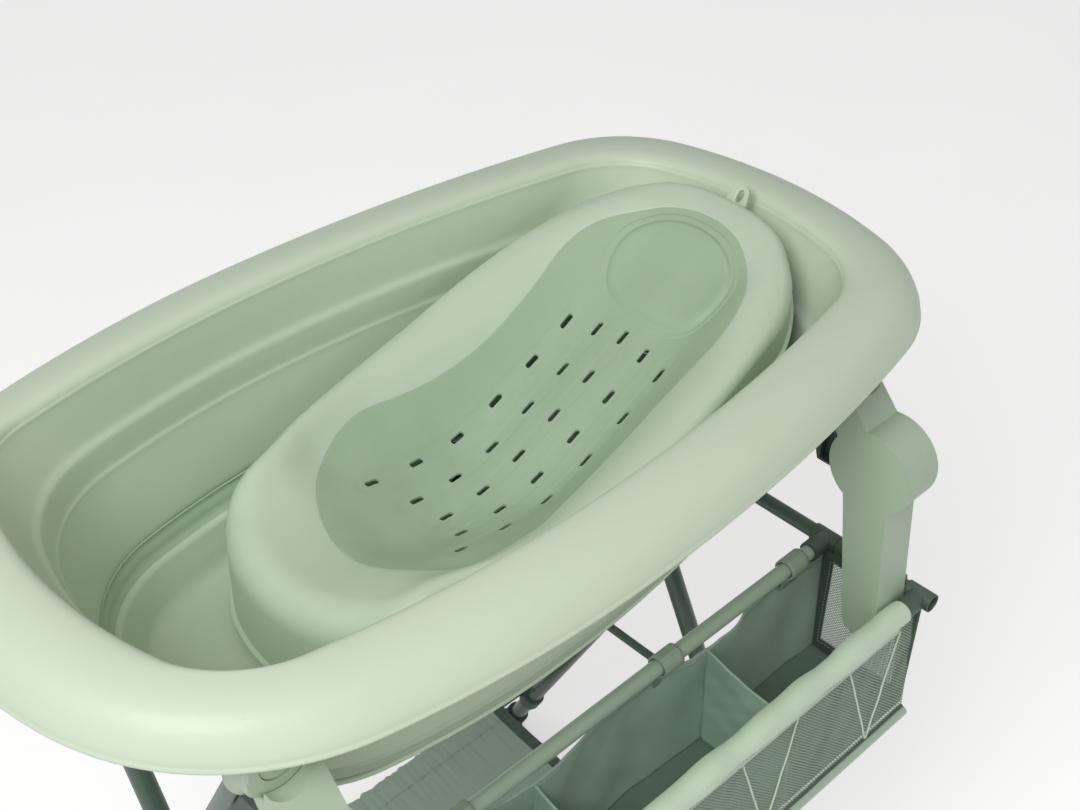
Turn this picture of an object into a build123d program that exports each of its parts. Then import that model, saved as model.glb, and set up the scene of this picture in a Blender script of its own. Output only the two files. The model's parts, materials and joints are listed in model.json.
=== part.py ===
from build123d import *
import math
import os

# A baby bathtub on a folding stand, in millimetres. X runs to the head end of the tub, Y away from the
# basket and Z up from the floor. The outlines are written in the stand's own frame, with x and y zero in the
# middle of the four feet, and every piece is moved by row_shift when it is saved.

# Tub rim and skirt
rim_height = 950
edge_half_width = 270
edge_head_x = 478
edge_foot_x = -452
widest_x = -50
edge_shoulder = 150
side_turn = 12
shoulder_turn = 60
rim_width = 56
rim_drop = 42
skirt_wall = 3
skirt_in_shares = (0, 0.1, 0.42, 1)
skirt_drop_shares = (1, 0.55, 0.16, 0)

# Tub walls, as the outer surface of the ring
wall_top_half_width = 206
wall_top_head_x = 410
wall_top_foot_x = -384
wall_depth = 178
wall_side_taper = 22
wall_head_taper = 85
wall_foot_taper = 59
wall_thickness = 3
wall_shoulder = 96
wall_shoulder_gain = 40
wall_drop_shares = (0, 0.11, 0.365, 0.545, 1)
wall_side_shares = (0, 0.09, 0.14, 0.2, 1)
wall_head_shares = (0, 0.1, 0.36, 0.52, 1)
wall_foot_shares = (0, 0.14, 0.48, 0.66, 1)
wall_shoulder_shares = (0, 0.12, 0.85, 0.9, 1)

# Recessed band and floor pan
band_height = 22
band_bulge = 5
band_thickness = 2.5
pan_flange_in = 3
pan_flange_height = 5
pan_wall_in = 14
pan_depth = 62
pan_floor_in = 34
pan_floor_corner_in = 24
pan_knee_share = 0.62
pan_wall = 3
pan_shoulder = 128
drain_x = -120
drain_radius = 19
drain_seat_flange = 6
drain_seat_thickness = 3
plug_clearance = 0.08
plug_head_height = 3
plug_grip_height = 7
plug_grip_width = 4

# Bath support. Its surface is a table of stations along its length: shares of the length, of the half width
# and of the depth, for the seat's middle line, the seat's sides, the inlay's edge and the raised rim's crest.
support_y = 2
support_head_x = 374
support_foot_x = -202
support_half_width = 157
support_widest_x = 90
support_shoulder = 118
support_depth = 174
support_skin = 3
support_side_wall = 3
support_seat_half = 59
support_roll_width = 22
support_roll_drop = 17
support_flange_width = 4
support_flange_height = 3
station_shares = (-0.014, 0.149, 0.247, 0.359, 0.438, 0.507, 0.576, 0.663, 0.741, 0.845, 0.924, 0.962, 1.01)
centre_drop_shares = (0.724, 0.845, 0.954, 1, 0.966, 0.879, 0.759, 0.621, 0.489, 0.316, 0.115, 0.052, 0.052)
seat_drop_shares = (0.718, 0.764, 0.839, 0.902, 0.911, 0.856, 0.753, 0.615, 0.466, 0.287, 0.103, 0.052, 0.052)
edge_drop_shares = (0.713, 0.678, 0.701, 0.672, 0.667, 0.632, 0.569, 0.425, 0.287, 0.126, 0.063, 0.052, 0.052)
edge_width_shares = (0.573, 0.573, 0.669, 0.707, 0.656, 0.624, 0.605, 0.624, 0.65, 0.586, 0.573, 0.573, 0.573)
crest_drop_shares = (0.701, 0.615, 0.592, 0.569, 0.529, 0.483, 0.414, 0.322, 0.241, 0.138, 0.069, 0.057, 0.057)
crest_width_shares = (0.752, 0.713, 0.803, 0.892, 0.936, 0.962, 0.975, 0.962, 0.917, 0.809, 0.701, 0.682, 0.669)
skirt_length_shares = (-0.049, 0.108, 0.351, 0.524, 0.698, 0.797, 0.872, 0.941, 1.019)
skirt_low_shares = (1.316, 1.259, 0.948, 0.764, 0.575, 0.454, 0.379, 0.259, 0.098)
inlay_depth = 1.6
inlay_clearance = 0.15
inlay_head_x = 239
inlay_head_radius = 101
inlay_foot_x = -4
inlay_foot_radius = 112
inlay_waist = 95
slot_rows = 6
slot_columns = 5
slot_row_first_x = 224
slot_row_pitch = 45.2
slot_pitch_y = 30
slot_bow = 15
slot_bow_gain = 2.4
slot_length = 15
slot_width = 5
headrest_x = 285
headrest_half_length = 40
headrest_half_width = 66
headrest_narrow_half_width = 50
headrest_corner = 34
headrest_height = 7
tab_length = 26
tab_root = 5
tab_corner = 12
tab_width = 24
tab_slot_length = 12
tab_slot_width = 4
tab_thickness = 4
tab_drop = 7
support_foot_radius = 11
support_foot_bore = 5
support_feet_x = (-140, 70)
support_feet_y = 66
seat_gap = 0.3

# Crossed legs
cross_height = 532
leg_lean = 27
leg_radius = 10.5
leg_wall = 1.5
leg_b_x = 337
leg_a_x = 314
leg_top_height = 872
foot_radius = 15
foot_flare = 3
foot_length = 46
foot_sole = 14
bolt_radius = 4
bolt_clearance = 0.05
bolt_head_radius = 8
bolt_head_height = 5
leg_fit = 0.04

# Hubs under the rim and their push buttons
hub_x = 330
hub_width = 54
hub_front_y = 195
hub_inner_y = 176
hub_bottom_drop = 92
hub_top_drop = 30
hub_corner = 17
hub_edge = 2
ring_radius = 26
ring_height = 3
button_drop = 62
button_radius = 17
button_thickness = 5
button_travel = 4
button_clearance = 0.06
button_recess = 1
spring_radius = 10
spring_wire = 2
spring_height = 1.8
socket_radius = 14
socket_length = 34
seat_pad_inset = 6

# Elbow arms that carry the basket
arm_x = 323
arm_thickness = 46
elbow_y = 239
elbow_drop = 151
elbow_radius = 44
arm_bottom_y = 258
arm_bottom_drop = 348
arm_width = 39
neck_width = 46
neck_end_share = 0.33
neck_start_y = 199
neck_start_drop = 96
arm_edge = 5
web_thickness = 18
web_rib = 3
web_ribs = 4
web_drop = 193
web_inner_y = 165
web_outer_y = 222
web_leg_seat = 30

# Spreader rods
lock_drop = 560
lock_rod_radius = 5
lock_plane_x = 290
lock_pin_radius = 3
lock_pin_clearance = 0.05
lock_head_gain = 1.5
lock_eye_radius = 9
lock_eye_width = 10
lock_bracket_radius = 10
lock_stud_radius = 4
lock_hook_radius = 9
lock_hook_width = 10
lock_hook_gap = 0.35
lock_collar_radius = 13.5
lock_collar_length = 34
lock_stud_tip = 4
lock_hook_turn = 6
lock_hook_reach = 3

# Shelf
shelf_height = 100
shelf_rod_radius = 7
shelf_rod_wall = 1.5
shelf_cloth_half_length = 288
shelf_cloth_thickness = 2
shelf_sag = 14
shelf_sleeve_radius = 9
shelf_clip_radius = 11
shelf_clip_width = 18
cloth_gap = 0.3

# Basket frame
rail_radius = 8
rail_wall = 1.2
rail_height = 640
back_rail_y = 174
front_rail_y = 288
basket_tube_x = 356
basket_tube_inner_y = 40
bottom_rail_y = 297
bottom_rail_height = 482
bottom_rail_radius = 6
tube_bracket_radius = 14
tube_bracket_length = 24
rail_socket_radius = 9.8
rail_sleeve_radius = 10.6
rail_socket_length = 30
clip_radius = 11.5
clip_width = 22

# Basket cloth
cloth = 1.6
sleeve_radius = 11
basket_floor_height = 492
basket_back_top_drop = 18
basket_back_wave = 7
basket_back_folds = 6
basket_front_wave = 4
basket_front_folds = 8
base_wave_share = 0.33
basket_gap = 1.5
divider_head_x = 168
divider_foot_x = -65
divider_thickness = 3
divider_sag = 26
loop_width = 20
loop_thickness = 1.6
loop_places_x = (300, 112, -150)
basket_front_base_y = 296
basket_back_base_y = 180

# One overrun serves every cut
overrun = 1

lean = math.radians(leg_lean)
quarter_turn = 90
front_extent = bottom_rail_y + bottom_rail_radius
foot_extent = cross_height * math.tan(lean) + (foot_radius + foot_flare) / math.cos(lean)
row_shift = Location((-(edge_head_x + edge_foot_x) / 2, (front_extent - foot_extent) / 2, 0))
os.makedirs("parts", exist_ok=True)


def save(name, solid):
    """Writes one piece, moved to the row's origin, and prints its volume."""
    moved = row_shift * solid
    solids = moved.solids()
    kept = Compound(children=solids) if len(solids) > 1 else solids[0]
    export_step(kept, os.path.join("parts", name + ".step"))
    print(name, len(solids), round(sum(s.volume for s in solids)))


def mirror_x(solid):
    """The same piece at the other end of the stand."""
    return mirror(solid, about=Plane.YZ)


def mirror_y(solid):
    """The same piece on the other side of the stand."""
    return mirror(solid, about=Plane.XZ)


def rod(start, end, radius, bore=0):
    """A round bar or tube between two points."""
    axis = Vector(end) - Vector(start)
    plane = Plane(origin=Vector(start), z_dir=axis)
    bar = extrude(plane * Circle(radius), amount=axis.length)
    if bore:
        hole = Plane(origin=Vector(start) - axis.normalized() * overrun, z_dir=axis)
        bar -= extrude(hole * Circle(bore), amount=axis.length + 2 * overrun)
    return bar


def block(low, high):
    """A box from its lowest to its highest corner."""
    size = Vector(high) - Vector(low)
    middle = (Vector(high) + Vector(low)) / 2
    return Location(middle) * Box(size.X, size.Y, size.Z)


def quarter(length, width, shoulder):
    """Centres, radii and heading limits of the three tangent arcs of a quarter oval."""
    first = math.radians(side_turn)
    second = math.radians(side_turn + shoulder_turn)
    sa, ca = math.sin(first), math.cos(first)
    sb, cb = math.sin(second), math.cos(second)
    along = length - shoulder * (sb - sa)
    across = width - shoulder * (ca - cb)
    scale = sa * cb - (1 - sb) * (1 - ca)
    side = (along * cb - across * (1 - sb)) / scale
    end = (sa * across - (1 - ca) * along) / scale
    side_centre = (0, width - side)
    shoulder_centre = (side_centre[0] + (side - shoulder) * sa, side_centre[1] + (side - shoulder) * ca)
    end_centre = (length - end, 0)
    return ((side_centre, side, 0, first), (shoulder_centre, shoulder, first, second), (end_centre, end, second, None))


def on_arc(arc, heading, flip_x, flip_y, middle_x):
    """The point of one arc of a quarter oval at a heading, in the chosen quarter."""
    (x, y), radius = arc[0], arc[1]
    return (middle_x + flip_x * (x + radius * math.sin(heading)), flip_y * (y + radius * math.cos(heading)))


def half_oval(length, width, shoulder, flip_x, middle_x):
    """Five arcs round one end of an oval, from the positive side to the negative side."""
    side, corner, end = quarter(length, width, shoulder)
    edges = []
    for arc in (side, corner):
        headings = (arc[2], (arc[2] + arc[3]) / 2, arc[3])
        edges.append(ThreePointArc(*(on_arc(arc, h, flip_x, 1, middle_x) for h in headings)))
    tip = (middle_x + flip_x * length, 0)
    edges.append(ThreePointArc(on_arc(end, end[2], flip_x, 1, middle_x), tip, on_arc(end, end[2], flip_x, -1, middle_x)))
    for arc in (corner, side):
        headings = (arc[3], (arc[2] + arc[3]) / 2, arc[2])
        edges.append(ThreePointArc(*(on_arc(arc, h, flip_x, -1, middle_x) for h in headings)))
    return edges


def oval(drop, head_x, foot_x, half_width, shoulder, middle_x=widest_x):
    """A flat oval of tangent arcs, drop below the rim's crest."""
    head = half_oval(head_x - middle_x, half_width, shoulder, 1, middle_x)
    foot = half_oval(middle_x - foot_x, half_width, shoulder, -1, middle_x)
    return Pos(0, 0, rim_height - drop) * make_face(Curve() + head + foot)


def edge_oval(drop, inset):
    """The rim's edge outline, moved inwards by an exact offset."""
    return oval(drop, edge_head_x - inset, edge_foot_x + inset, edge_half_width - inset, edge_shoulder - inset)


def wall_oval(step, inset):
    """The tub wall's outline at one step of its height, moved inwards."""
    return oval(
        wall_drop_shares[step] * wall_depth,
        wall_top_head_x - wall_head_shares[step] * wall_head_taper - inset,
        wall_top_foot_x + wall_foot_shares[step] * wall_foot_taper + inset,
        wall_top_half_width - wall_side_shares[step] * wall_side_taper - inset,
        wall_shoulder + wall_shoulder_shares[step] * wall_shoulder_gain - inset,
    )


def lip_oval(drop, inset, shoulder):
    """An outline below the ring's lower lip, given by how far it lies inside the lip's outer edge."""
    head = wall_top_head_x - wall_head_taper
    foot = wall_top_foot_x + wall_foot_taper
    return oval(drop, head - inset, foot + inset, wall_top_half_width - wall_side_taper - inset, shoulder)


def tub_ring():
    """The moulded upper ring: convex skirt, rim, walls with a step and a ridge, and four seats."""
    skirt = loft([edge_oval(d * rim_drop, i * rim_width) for d, i in zip(skirt_drop_shares, skirt_in_shares)])
    under = loft(
        [edge_oval(rim_drop + overrun, skirt_wall)]
        + [
            edge_oval(max(d * rim_drop, skirt_wall) + d * overrun, i * (rim_width - skirt_wall) + skirt_wall)
            for d, i in list(zip(skirt_drop_shares, skirt_in_shares))[1:]
        ]
    )
    steps = range(len(wall_drop_shares))
    wall = loft([wall_oval(step, 0) for step in steps], ruled=True)
    cavity = loft([wall_oval(step, wall_thickness) for step in steps], ruled=True)
    mouth = extrude(wall_oval(0, wall_thickness), amount=overrun)
    outlet = extrude(wall_oval(steps[-1], wall_thickness), amount=-overrun)
    pads = tub_seats() & (skirt + extrude(edge_oval(rim_drop, rim_width / 2), amount=-wall_depth))
    return skirt - under + pads + wall - cavity - mouth - outlet


def tub_seats():
    """Four blocks under the rim that reach down to the hubs' tops."""
    half = hub_width / 2 - seat_pad_inset
    low_z = rim_height - hub_top_drop + seat_gap
    seats = Part()
    for end in (-1, 1):
        for side in (-1, 1):
            seats += block(
                (end * hub_x - half, min(side * hub_inner_y, side * hub_front_y), low_z),
                (end * hub_x + half, max(side * hub_inner_y, side * hub_front_y), rim_height),
            )
    return seats


def tub_band():
    """The recessed band between the ring's lip and the floor pan, folded once."""
    shoulder = wall_shoulder + wall_shoulder_gain
    levels = ((0, 0), (band_height / 2, -band_bulge), (band_height, 0))
    outer = loft([lip_oval(wall_depth + d, i, shoulder - i) for d, i in levels], ruled=True)
    inner = loft(
        [lip_oval(wall_depth + d, i + band_thickness, shoulder - i - band_thickness) for d, i in levels], ruled=True
    )
    return outer - inner


def tub_base():
    """The floor pan: a flange under the band, walls and a flat floor with the drain hole."""
    top = wall_depth + band_height
    knee = top + pan_knee_share * (pan_depth - band_height)
    floor = wall_depth + pan_depth
    shoulder = wall_shoulder + wall_shoulder_gain
    flange = extrude(lip_oval(top + pan_flange_height, -pan_flange_in, shoulder + pan_flange_in), amount=pan_flange_height)
    levels = ((top, pan_wall_in), (knee, pan_floor_corner_in), (floor, pan_floor_in))
    outer = loft([lip_oval(d, i, pan_shoulder - i / 2) for d, i in levels], ruled=True)
    inner_levels = ((top, pan_wall_in), (knee, pan_floor_corner_in), (floor - pan_wall, pan_floor_in))
    inner = loft([lip_oval(d, i + pan_wall, pan_shoulder - i / 2 - pan_wall) for d, i in inner_levels], ruled=True)
    mouth = extrude(lip_oval(top, pan_wall_in + pan_wall, pan_shoulder - pan_wall_in / 2 - pan_wall), amount=overrun)
    drain = Pos(drain_x, 0, rim_height - floor) * Cylinder(drain_radius, 2 * (pan_wall + overrun))
    return flange + outer - inner - mouth - drain


def pan_floor_top():
    """Height of the pan's inner floor."""
    return rim_height - wall_depth - pan_depth + pan_wall


def drain_seat():
    """The collar in the drain hole, with a flange on the floor."""
    low = pan_floor_top() - pan_wall
    body = rod((drain_x, 0, low), (drain_x, 0, low + pan_wall + drain_seat_thickness), drain_radius)
    flange_start = (drain_x, 0, low + pan_wall)
    flange_end = (drain_x, 0, low + pan_wall + drain_seat_thickness)
    body += rod(flange_start, flange_end, drain_radius + drain_seat_flange)
    bore_radius = drain_radius - drain_seat_flange
    return body - rod((drain_x, 0, low - overrun), (drain_x, 0, rim_height), bore_radius)


def drain_plug():
    """The plug, with a head on the collar and a grip to lift it by."""
    low = pan_floor_top() - pan_wall
    seat = low + pan_wall + drain_seat_thickness
    stem_radius = drain_radius - drain_seat_flange - plug_clearance
    plug = rod((drain_x, 0, low), (drain_x, 0, seat), stem_radius)
    plug += rod((drain_x, 0, seat), (drain_x, 0, seat + plug_head_height), drain_radius)
    top = seat + plug_head_height
    grip_low = (drain_x - drain_radius / 2, -plug_grip_width / 2, top)
    grip_high = (drain_x + drain_radius / 2, plug_grip_width / 2, top + plug_grip_height)
    return plug + block(grip_low, grip_high)


def support_outline(inset):
    """The bath support's plan outline, moved inwards."""
    face = oval(
        rim_height,
        support_head_x - inset,
        support_foot_x + inset,
        support_half_width - inset,
        support_shoulder - inset,
        support_widest_x,
    )
    return Pos(0, support_y, 0) * face


def support_section(station, lower):
    """A cut across the support's surface at one station, closed far below it."""
    x = support_foot_x + station_shares[station] * (support_head_x - support_foot_x)
    edge = edge_width_shares[station] * support_half_width
    crest = crest_width_shares[station] * support_half_width
    side = crest + support_roll_width
    half = [
        (0, centre_drop_shares[station] * support_depth),
        (support_seat_half, seat_drop_shares[station] * support_depth),
        (edge, edge_drop_shares[station] * support_depth),
        (crest, crest_drop_shares[station] * support_depth),
        (side, crest_drop_shares[station] * support_depth + support_roll_drop),
    ]
    right = [Vector(x, y, rim_height - drop - lower) for y, drop in half]
    left = [Vector(x, -y, rim_height - drop - lower) for y, drop in half[1:]]
    low = rim_height - 2 * wall_depth
    corners = [right[-1], Vector(x, side, low), Vector(x, -side, low), left[-1]]
    edges = [Spline(*left[::-1], *right)] + [Line(corners[i], corners[i + 1]) for i in range(len(corners) - 1)]
    return make_face(Curve() + edges)


def support_ground(lower):
    """The solid below the support's surface, lowered."""
    sections = [support_section(station, lower) for station in range(len(station_shares))]
    return Pos(0, support_y, 0) * loft(sections)


def above_skirt(raised):
    """The space above the skirt's lower edge, raised."""
    length = support_head_x - support_foot_x
    low = [
        Vector(support_foot_x + x * length, 0, rim_height - z * support_depth + raised)
        for x, z in zip(skirt_length_shares, skirt_low_shares)
    ]
    high = [Vector(low[-1].X, 0, rim_height + wall_depth), Vector(low[0].X, 0, rim_height + wall_depth)]
    edges = [Spline(*low), Line(low[-1], high[0]), Line(high[0], high[1]), Line(high[1], low[0])]
    return extrude(make_face(Curve() + edges), amount=2 * support_half_width, both=True)


def plan_column(face):
    """A plan outline drawn through the whole height of the tub."""
    low = rim_height - 2 * wall_depth + overrun
    return extrude(Pos(0, 0, low) * face, amount=2 * wall_depth, dir=(0, 0, 1))


def inlay_outline(inset):
    """The waisted outline of the inlay: two round lobes joined by hollow flanks."""
    head_radius = inlay_head_radius - inset
    foot_radius_now = inlay_foot_radius - inset
    waist = inlay_waist - inset
    span = inlay_head_x - inlay_foot_x
    gain = foot_radius_now - head_radius
    slope = gain / span
    base = (span * span + foot_radius_now**2 - head_radius**2) / (2 * span)
    first = slope * slope
    second = 2 * base * slope - 2 * (foot_radius_now - waist)
    third = base * base - (foot_radius_now**2 - waist**2)
    flank = (-second - math.sqrt(second * second - 4 * first * third)) / (2 * first)
    centre_x = inlay_foot_x + base + slope * flank
    centre_y = waist + flank
    edges = []
    for side in (1, -1):
        flank_centre = Vector(centre_x, side * centre_y)
        head_centre = Vector(inlay_head_x, 0)
        foot_centre = Vector(inlay_foot_x, 0)
        head_point = head_centre + (flank_centre - head_centre).normalized() * head_radius
        foot_point = foot_centre + (flank_centre - foot_centre).normalized() * foot_radius_now
        edges.append(ThreePointArc(foot_point, (centre_x, side * waist), head_point))
        if side > 0:
            head_start, foot_start = head_point, foot_point
    edges.append(ThreePointArc(head_start, (inlay_head_x + head_radius, 0), head_point))
    edges.append(ThreePointArc(foot_start, (inlay_foot_x - foot_radius_now, 0), foot_point))
    return Pos(0, support_y, 0) * make_face(Curve() + edges)


def support_slots():
    """Drain slots in rows across the support, bowed towards the head end, and more so in the lowest rows."""
    half = (slot_columns - 1) / 2
    slot = extrude(SlotOverall(slot_length, slot_width), amount=rim_height)
    slots = []
    for row in range(slot_rows):
        bow = slot_bow * (1 + (slot_bow_gain - 1) * (row / (slot_rows - 1)) ** 2)
        for column in range(slot_columns):
            aside = (column - half) / half
            x = slot_row_first_x - row * slot_row_pitch - bow * aside * aside
            slots.append(Pos(x, support_y + (column - half) * slot_pitch_y, 0) * slot)
    return slots


def hang_tab():
    """The flat tab with a slot at the head end of the support."""
    start = support_head_x - tab_root
    straight = tab_length + tab_root - tab_corner
    outline = Pos(start + straight / 2, 0) * Rectangle(straight, tab_width)
    outline += Pos(support_head_x + tab_length - tab_corner, 0) * Circle(tab_corner)
    slot_x = support_head_x + tab_length - tab_corner
    outline -= Pos(slot_x, 0) * Rot(0, 0, quarter_turn) * SlotOverall(tab_slot_length, tab_slot_width)
    return Pos(0, support_y, rim_height - tab_drop - tab_thickness) * extrude(outline, amount=tab_thickness)


def support_shell():
    """The pale moulded body: a dished skin with a raised rim, a skirt with a flange, and drain slots."""
    outer = plan_column(support_outline(0))
    inner = plan_column(support_outline(support_side_wall))
    ground = support_ground(0)
    skin = (outer & ground) - support_ground(support_skin)
    wall = ((outer - inner) & ground) & above_skirt(0)
    rim = (plan_column(support_outline(-support_flange_width)) - inner) & above_skirt(0)
    flange = (rim - above_skirt(support_flange_height)) & ground
    recess = plan_column(inlay_outline(0)) - support_ground(inlay_depth)
    return skin + wall + flange + hang_tab() - recess - support_slots()


def support_inlay():
    """The darker inlay, flush in its recess."""
    inlay = (plan_column(inlay_outline(inlay_clearance)) & support_ground(0)) - support_ground(inlay_depth)
    return inlay - support_slots()


def support_headrest():
    """The raised pad with rounded corners."""
    corners = [
        (-headrest_half_length, -headrest_half_width),
        (-headrest_half_length, headrest_half_width),
        (headrest_half_length, headrest_narrow_half_width),
        (headrest_half_length, -headrest_narrow_half_width),
    ]
    outline = make_face(FilletPolyline(*corners, radius=headrest_corner, close=True))
    column = plan_column(Pos(headrest_x, support_y, 0) * outline)
    return (column & support_ground(-headrest_height)) - support_ground(0)


def support_feet():
    """Four posts with flat pads between the support's skin and the tub's floor."""
    below = support_ground(support_skin)
    feet = []
    for x in support_feet_x:
        for side in (-1, 1):
            y = support_y + side * support_feet_y
            low = pan_floor_top() + seat_gap
            post = rod((x, y, low), (x, y, rim_height), support_foot_bore) & below
            feet.append(post + rod((x, y, low), (x, y, low + support_foot_radius), support_foot_radius))
    return feet


def along_leg(distance, side):
    """A point on a leg's axis, measured up from the crossing. Side is 1 for a leg whose top is far."""
    return Vector(0, side * distance * math.sin(lean), cross_height + distance * math.cos(lean))


def leg(x, side):
    """A leg tube from its socket in the hub to its rubber foot, with the bolt hole at the crossing."""
    top = (leg_top_height - cross_height) / math.cos(lean)
    bottom = -cross_height / math.cos(lean) + foot_sole + leg_radius
    offset = Vector(x, 0, 0)
    tube = rod(along_leg(bottom, side) + offset, along_leg(top, side) + offset, leg_radius, leg_radius - leg_wall)
    reach = leg_radius + overrun
    return tube - rod((x - reach, 0, cross_height), (x + reach, 0, cross_height), bolt_radius + bolt_clearance)


def foot(x, side):
    """A rubber foot with a flared sole, cut flat on the floor."""
    offset = Vector(x, 0, 0)
    end = -cross_height / math.cos(lean)
    low = along_leg(end - foot_radius, side) + offset
    high = along_leg(end + foot_length, side) + offset
    flare_top = along_leg(end + foot_sole, side) + offset
    boot = rod(low, high, foot_radius) + rod(low, flare_top, foot_radius + foot_flare)
    boot -= block((x - rim_height, -rim_height, -rim_height), (x + rim_height, rim_height, 0))
    seat = end + foot_sole + leg_radius
    return boot - rod(along_leg(seat, side) + offset, along_leg(0, side) + offset, leg_radius)


def hub(leg_x, side):
    """A hub block with its ring, button bore and leg socket. Side is -1 at the basket and 1 away from it."""
    low_z = rim_height - hub_bottom_drop
    high_z = rim_height - hub_top_drop
    inner, front = side * hub_inner_y, side * hub_front_y
    shape = block((hub_x - hub_width / 2, min(inner, front), low_z), (hub_x + hub_width / 2, max(inner, front), high_z))
    shape = fillet(shape.edges().filter_by(Axis.Y).group_by(Axis.Z)[0], hub_corner)
    shape = fillet(shape.edges().filter_by(Axis.Z), hub_edge)
    middle_z = rim_height - button_drop
    ring_out = side * (hub_front_y + ring_height)
    shape += rod((hub_x, front - side * overrun, middle_z), (hub_x, ring_out, middle_z), ring_radius)
    offset = Vector(leg_x, 0, 0)
    top = (leg_top_height - cross_height) / math.cos(lean)
    socket_end = top - socket_length
    cap = rod(along_leg(socket_end, side) + offset, along_leg(top + leg_wall, side) + offset, socket_radius)
    shape += cap
    shape -= rod(along_leg(socket_end - overrun, side) + offset, along_leg(top, side) + offset, leg_radius)
    floor = side * (hub_front_y + ring_height - button_recess - button_thickness - button_travel - spring_height)
    bore = rod((hub_x, floor, middle_z), (hub_x, ring_out + side * overrun, middle_z), button_radius + button_clearance)
    return shape - bore


def button(side):
    """A round push button, its face a little below the ring."""
    face = side * (hub_front_y + ring_height - button_recess)
    back = face - side * button_thickness
    z = rim_height - button_drop
    cap = rod((hub_x, back, z), (hub_x, face, z), button_radius)
    edge = cap.edges().filter_by(GeomType.CIRCLE).sort_by(Axis.Y)[0 if side < 0 else -1]
    return chamfer(edge, overrun)


def button_spring(side):
    """The button's flat return spring, drawn at its pressed height on the floor of the bore."""
    floor = side * (hub_front_y + ring_height - button_recess - button_thickness - button_travel - spring_height)
    z = rim_height - button_drop
    return rod((hub_x, floor, z), (hub_x, floor + side * spring_height, z), spring_radius, spring_radius - spring_wire)


def elbow_arm():
    """The moulded arm at the basket's side: neck, round elbow and hanging body."""
    elbow = (-elbow_y, rim_height - elbow_drop)
    bottom = (-arm_bottom_y, rim_height - arm_bottom_drop + arm_width / 2)
    start = (-neck_start_y, rim_height - neck_start_drop)
    half = arm_width / 2
    shoulder = Pos(elbow[0], elbow[1] - elbow_radius / 2) * Circle(half + arm_edge)
    body = make_hull(shoulder.edges() + (Pos(*bottom) * Circle(half)).edges())
    neck = make_hull((Pos(*elbow) * Circle(neck_width / 2)).edges() + (Pos(*start) * Circle(neck_width * neck_end_share)).edges())
    outline = Pos(*elbow) * Circle(elbow_radius) + body + neck
    plate = extrude(Plane.YZ * outline, amount=arm_thickness / 2, both=True)
    plate = Pos(arm_x, 0, 0) * plate
    hub_bottom = rim_height - hub_bottom_drop
    front = -hub_front_y - ring_height - seat_gap
    plate -= block((0, front, hub_bottom), (rim_height, 0, rim_height))
    button_axis = (hub_x, 0, rim_height - button_drop)
    reach = (hub_x, -rim_height, rim_height - button_drop)
    return plate - rod(button_axis, reach, ring_radius + seat_gap)


def leg_outer_y(z, radius):
    """How far out a leg's outer side lies at a height, for a given radius round its axis."""
    return abs(z - cross_height) * math.tan(lean) + radius / math.cos(lean)


def arm_web():
    """The ribbed web inside the elbow, between the leg and the arm."""
    top = (leg_top_height - cross_height) / math.cos(lean) - socket_length
    high_z = along_leg(top, 1).Z - socket_radius * math.sin(lean)
    low_z = rim_height - web_drop
    middle_z = high_z - web_leg_seat
    outline = Polyline(
        (-leg_outer_y(high_z, leg_radius), high_z),
        (-elbow_y + neck_width / 2, high_z),
        (-elbow_y, rim_height - elbow_drop),
        (-web_outer_y, low_z),
        (-web_inner_y, low_z),
        (-leg_outer_y(middle_z, leg_radius), middle_z),
        close=True,
    )
    web = extrude(Plane.YZ * make_face(outline), amount=web_thickness / 2, both=True)
    pitch = (web_outer_y - web_inner_y) / web_ribs
    pocket_depth = (web_thickness - web_rib) / 2
    for side in (1, -1):
        face = side * web_thickness / 2
        for rib in range(web_ribs):
            y = -web_inner_y - rib * pitch - web_rib
            low = (min(face, face - side * pocket_depth), y - pitch + web_rib, low_z + web_rib)
            high = (max(face, face - side * pocket_depth), y, high_z - web_leg_seat)
            web -= block(low, high)
    return Pos(leg_b_x, 0, 0) * web - elbow_arm()


def bolt():
    """The crossing's bolt, with a round head outside and a cap inside."""
    inner = leg_a_x - leg_radius
    outer = leg_b_x + leg_radius
    shank = rod((inner, 0, cross_height), (outer, 0, cross_height), bolt_radius)
    shank += rod((inner - bolt_head_height, 0, cross_height), (inner, 0, cross_height), bolt_head_radius)
    return shank + rod((outer, 0, cross_height), (outer + bolt_head_height, 0, cross_height), bolt_head_radius)


def spacer():
    """The washer between the two legs."""
    start = (leg_a_x + leg_radius, 0, cross_height)
    end = (leg_b_x - leg_radius, 0, cross_height)
    return rod(start, end, bolt_head_radius, bolt_radius + bolt_clearance)


def shelf_rod_place():
    """Distance down the leg and the centre of the far shelf rod, which lies against the leg's outer side."""
    offset = leg_radius + shelf_rod_radius + leg_fit
    down = (cross_height - shelf_height + offset * math.sin(lean)) / math.cos(lean)
    y = down * math.sin(lean) + offset * math.cos(lean)
    return down, Vector(0, y, shelf_height)


def shelf_rod(leg_x):
    """The tube along the far side of the shelf."""
    centre = shelf_rod_place()[1]
    reach = Vector(leg_x + shelf_clip_width / 2, 0, 0)
    return rod(centre - reach, centre + reach, shelf_rod_radius, shelf_rod_radius - shelf_rod_wall)


def leg_clip(leg_x, down, centre, bar, bar_radius, ring_radius_now, collar_radius, width):
    """A clip that grips a leg below its crossing and a bar beside it."""
    offset = Vector(leg_x, 0, 0)
    low = along_leg(-down - width / 2, -1) + offset
    high = along_leg(-down + width / 2, -1) + offset
    clip = rod(low, high, collar_radius)
    start = centre + offset - bar * (width / 2)
    end = centre + offset + bar * (width / 2)
    clip += rod(start, end, ring_radius_now)
    clip -= rod(low - (high - low), high + (high - low), leg_radius)
    return clip - rod(start - bar * width, end + bar * width, bar_radius)


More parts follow.
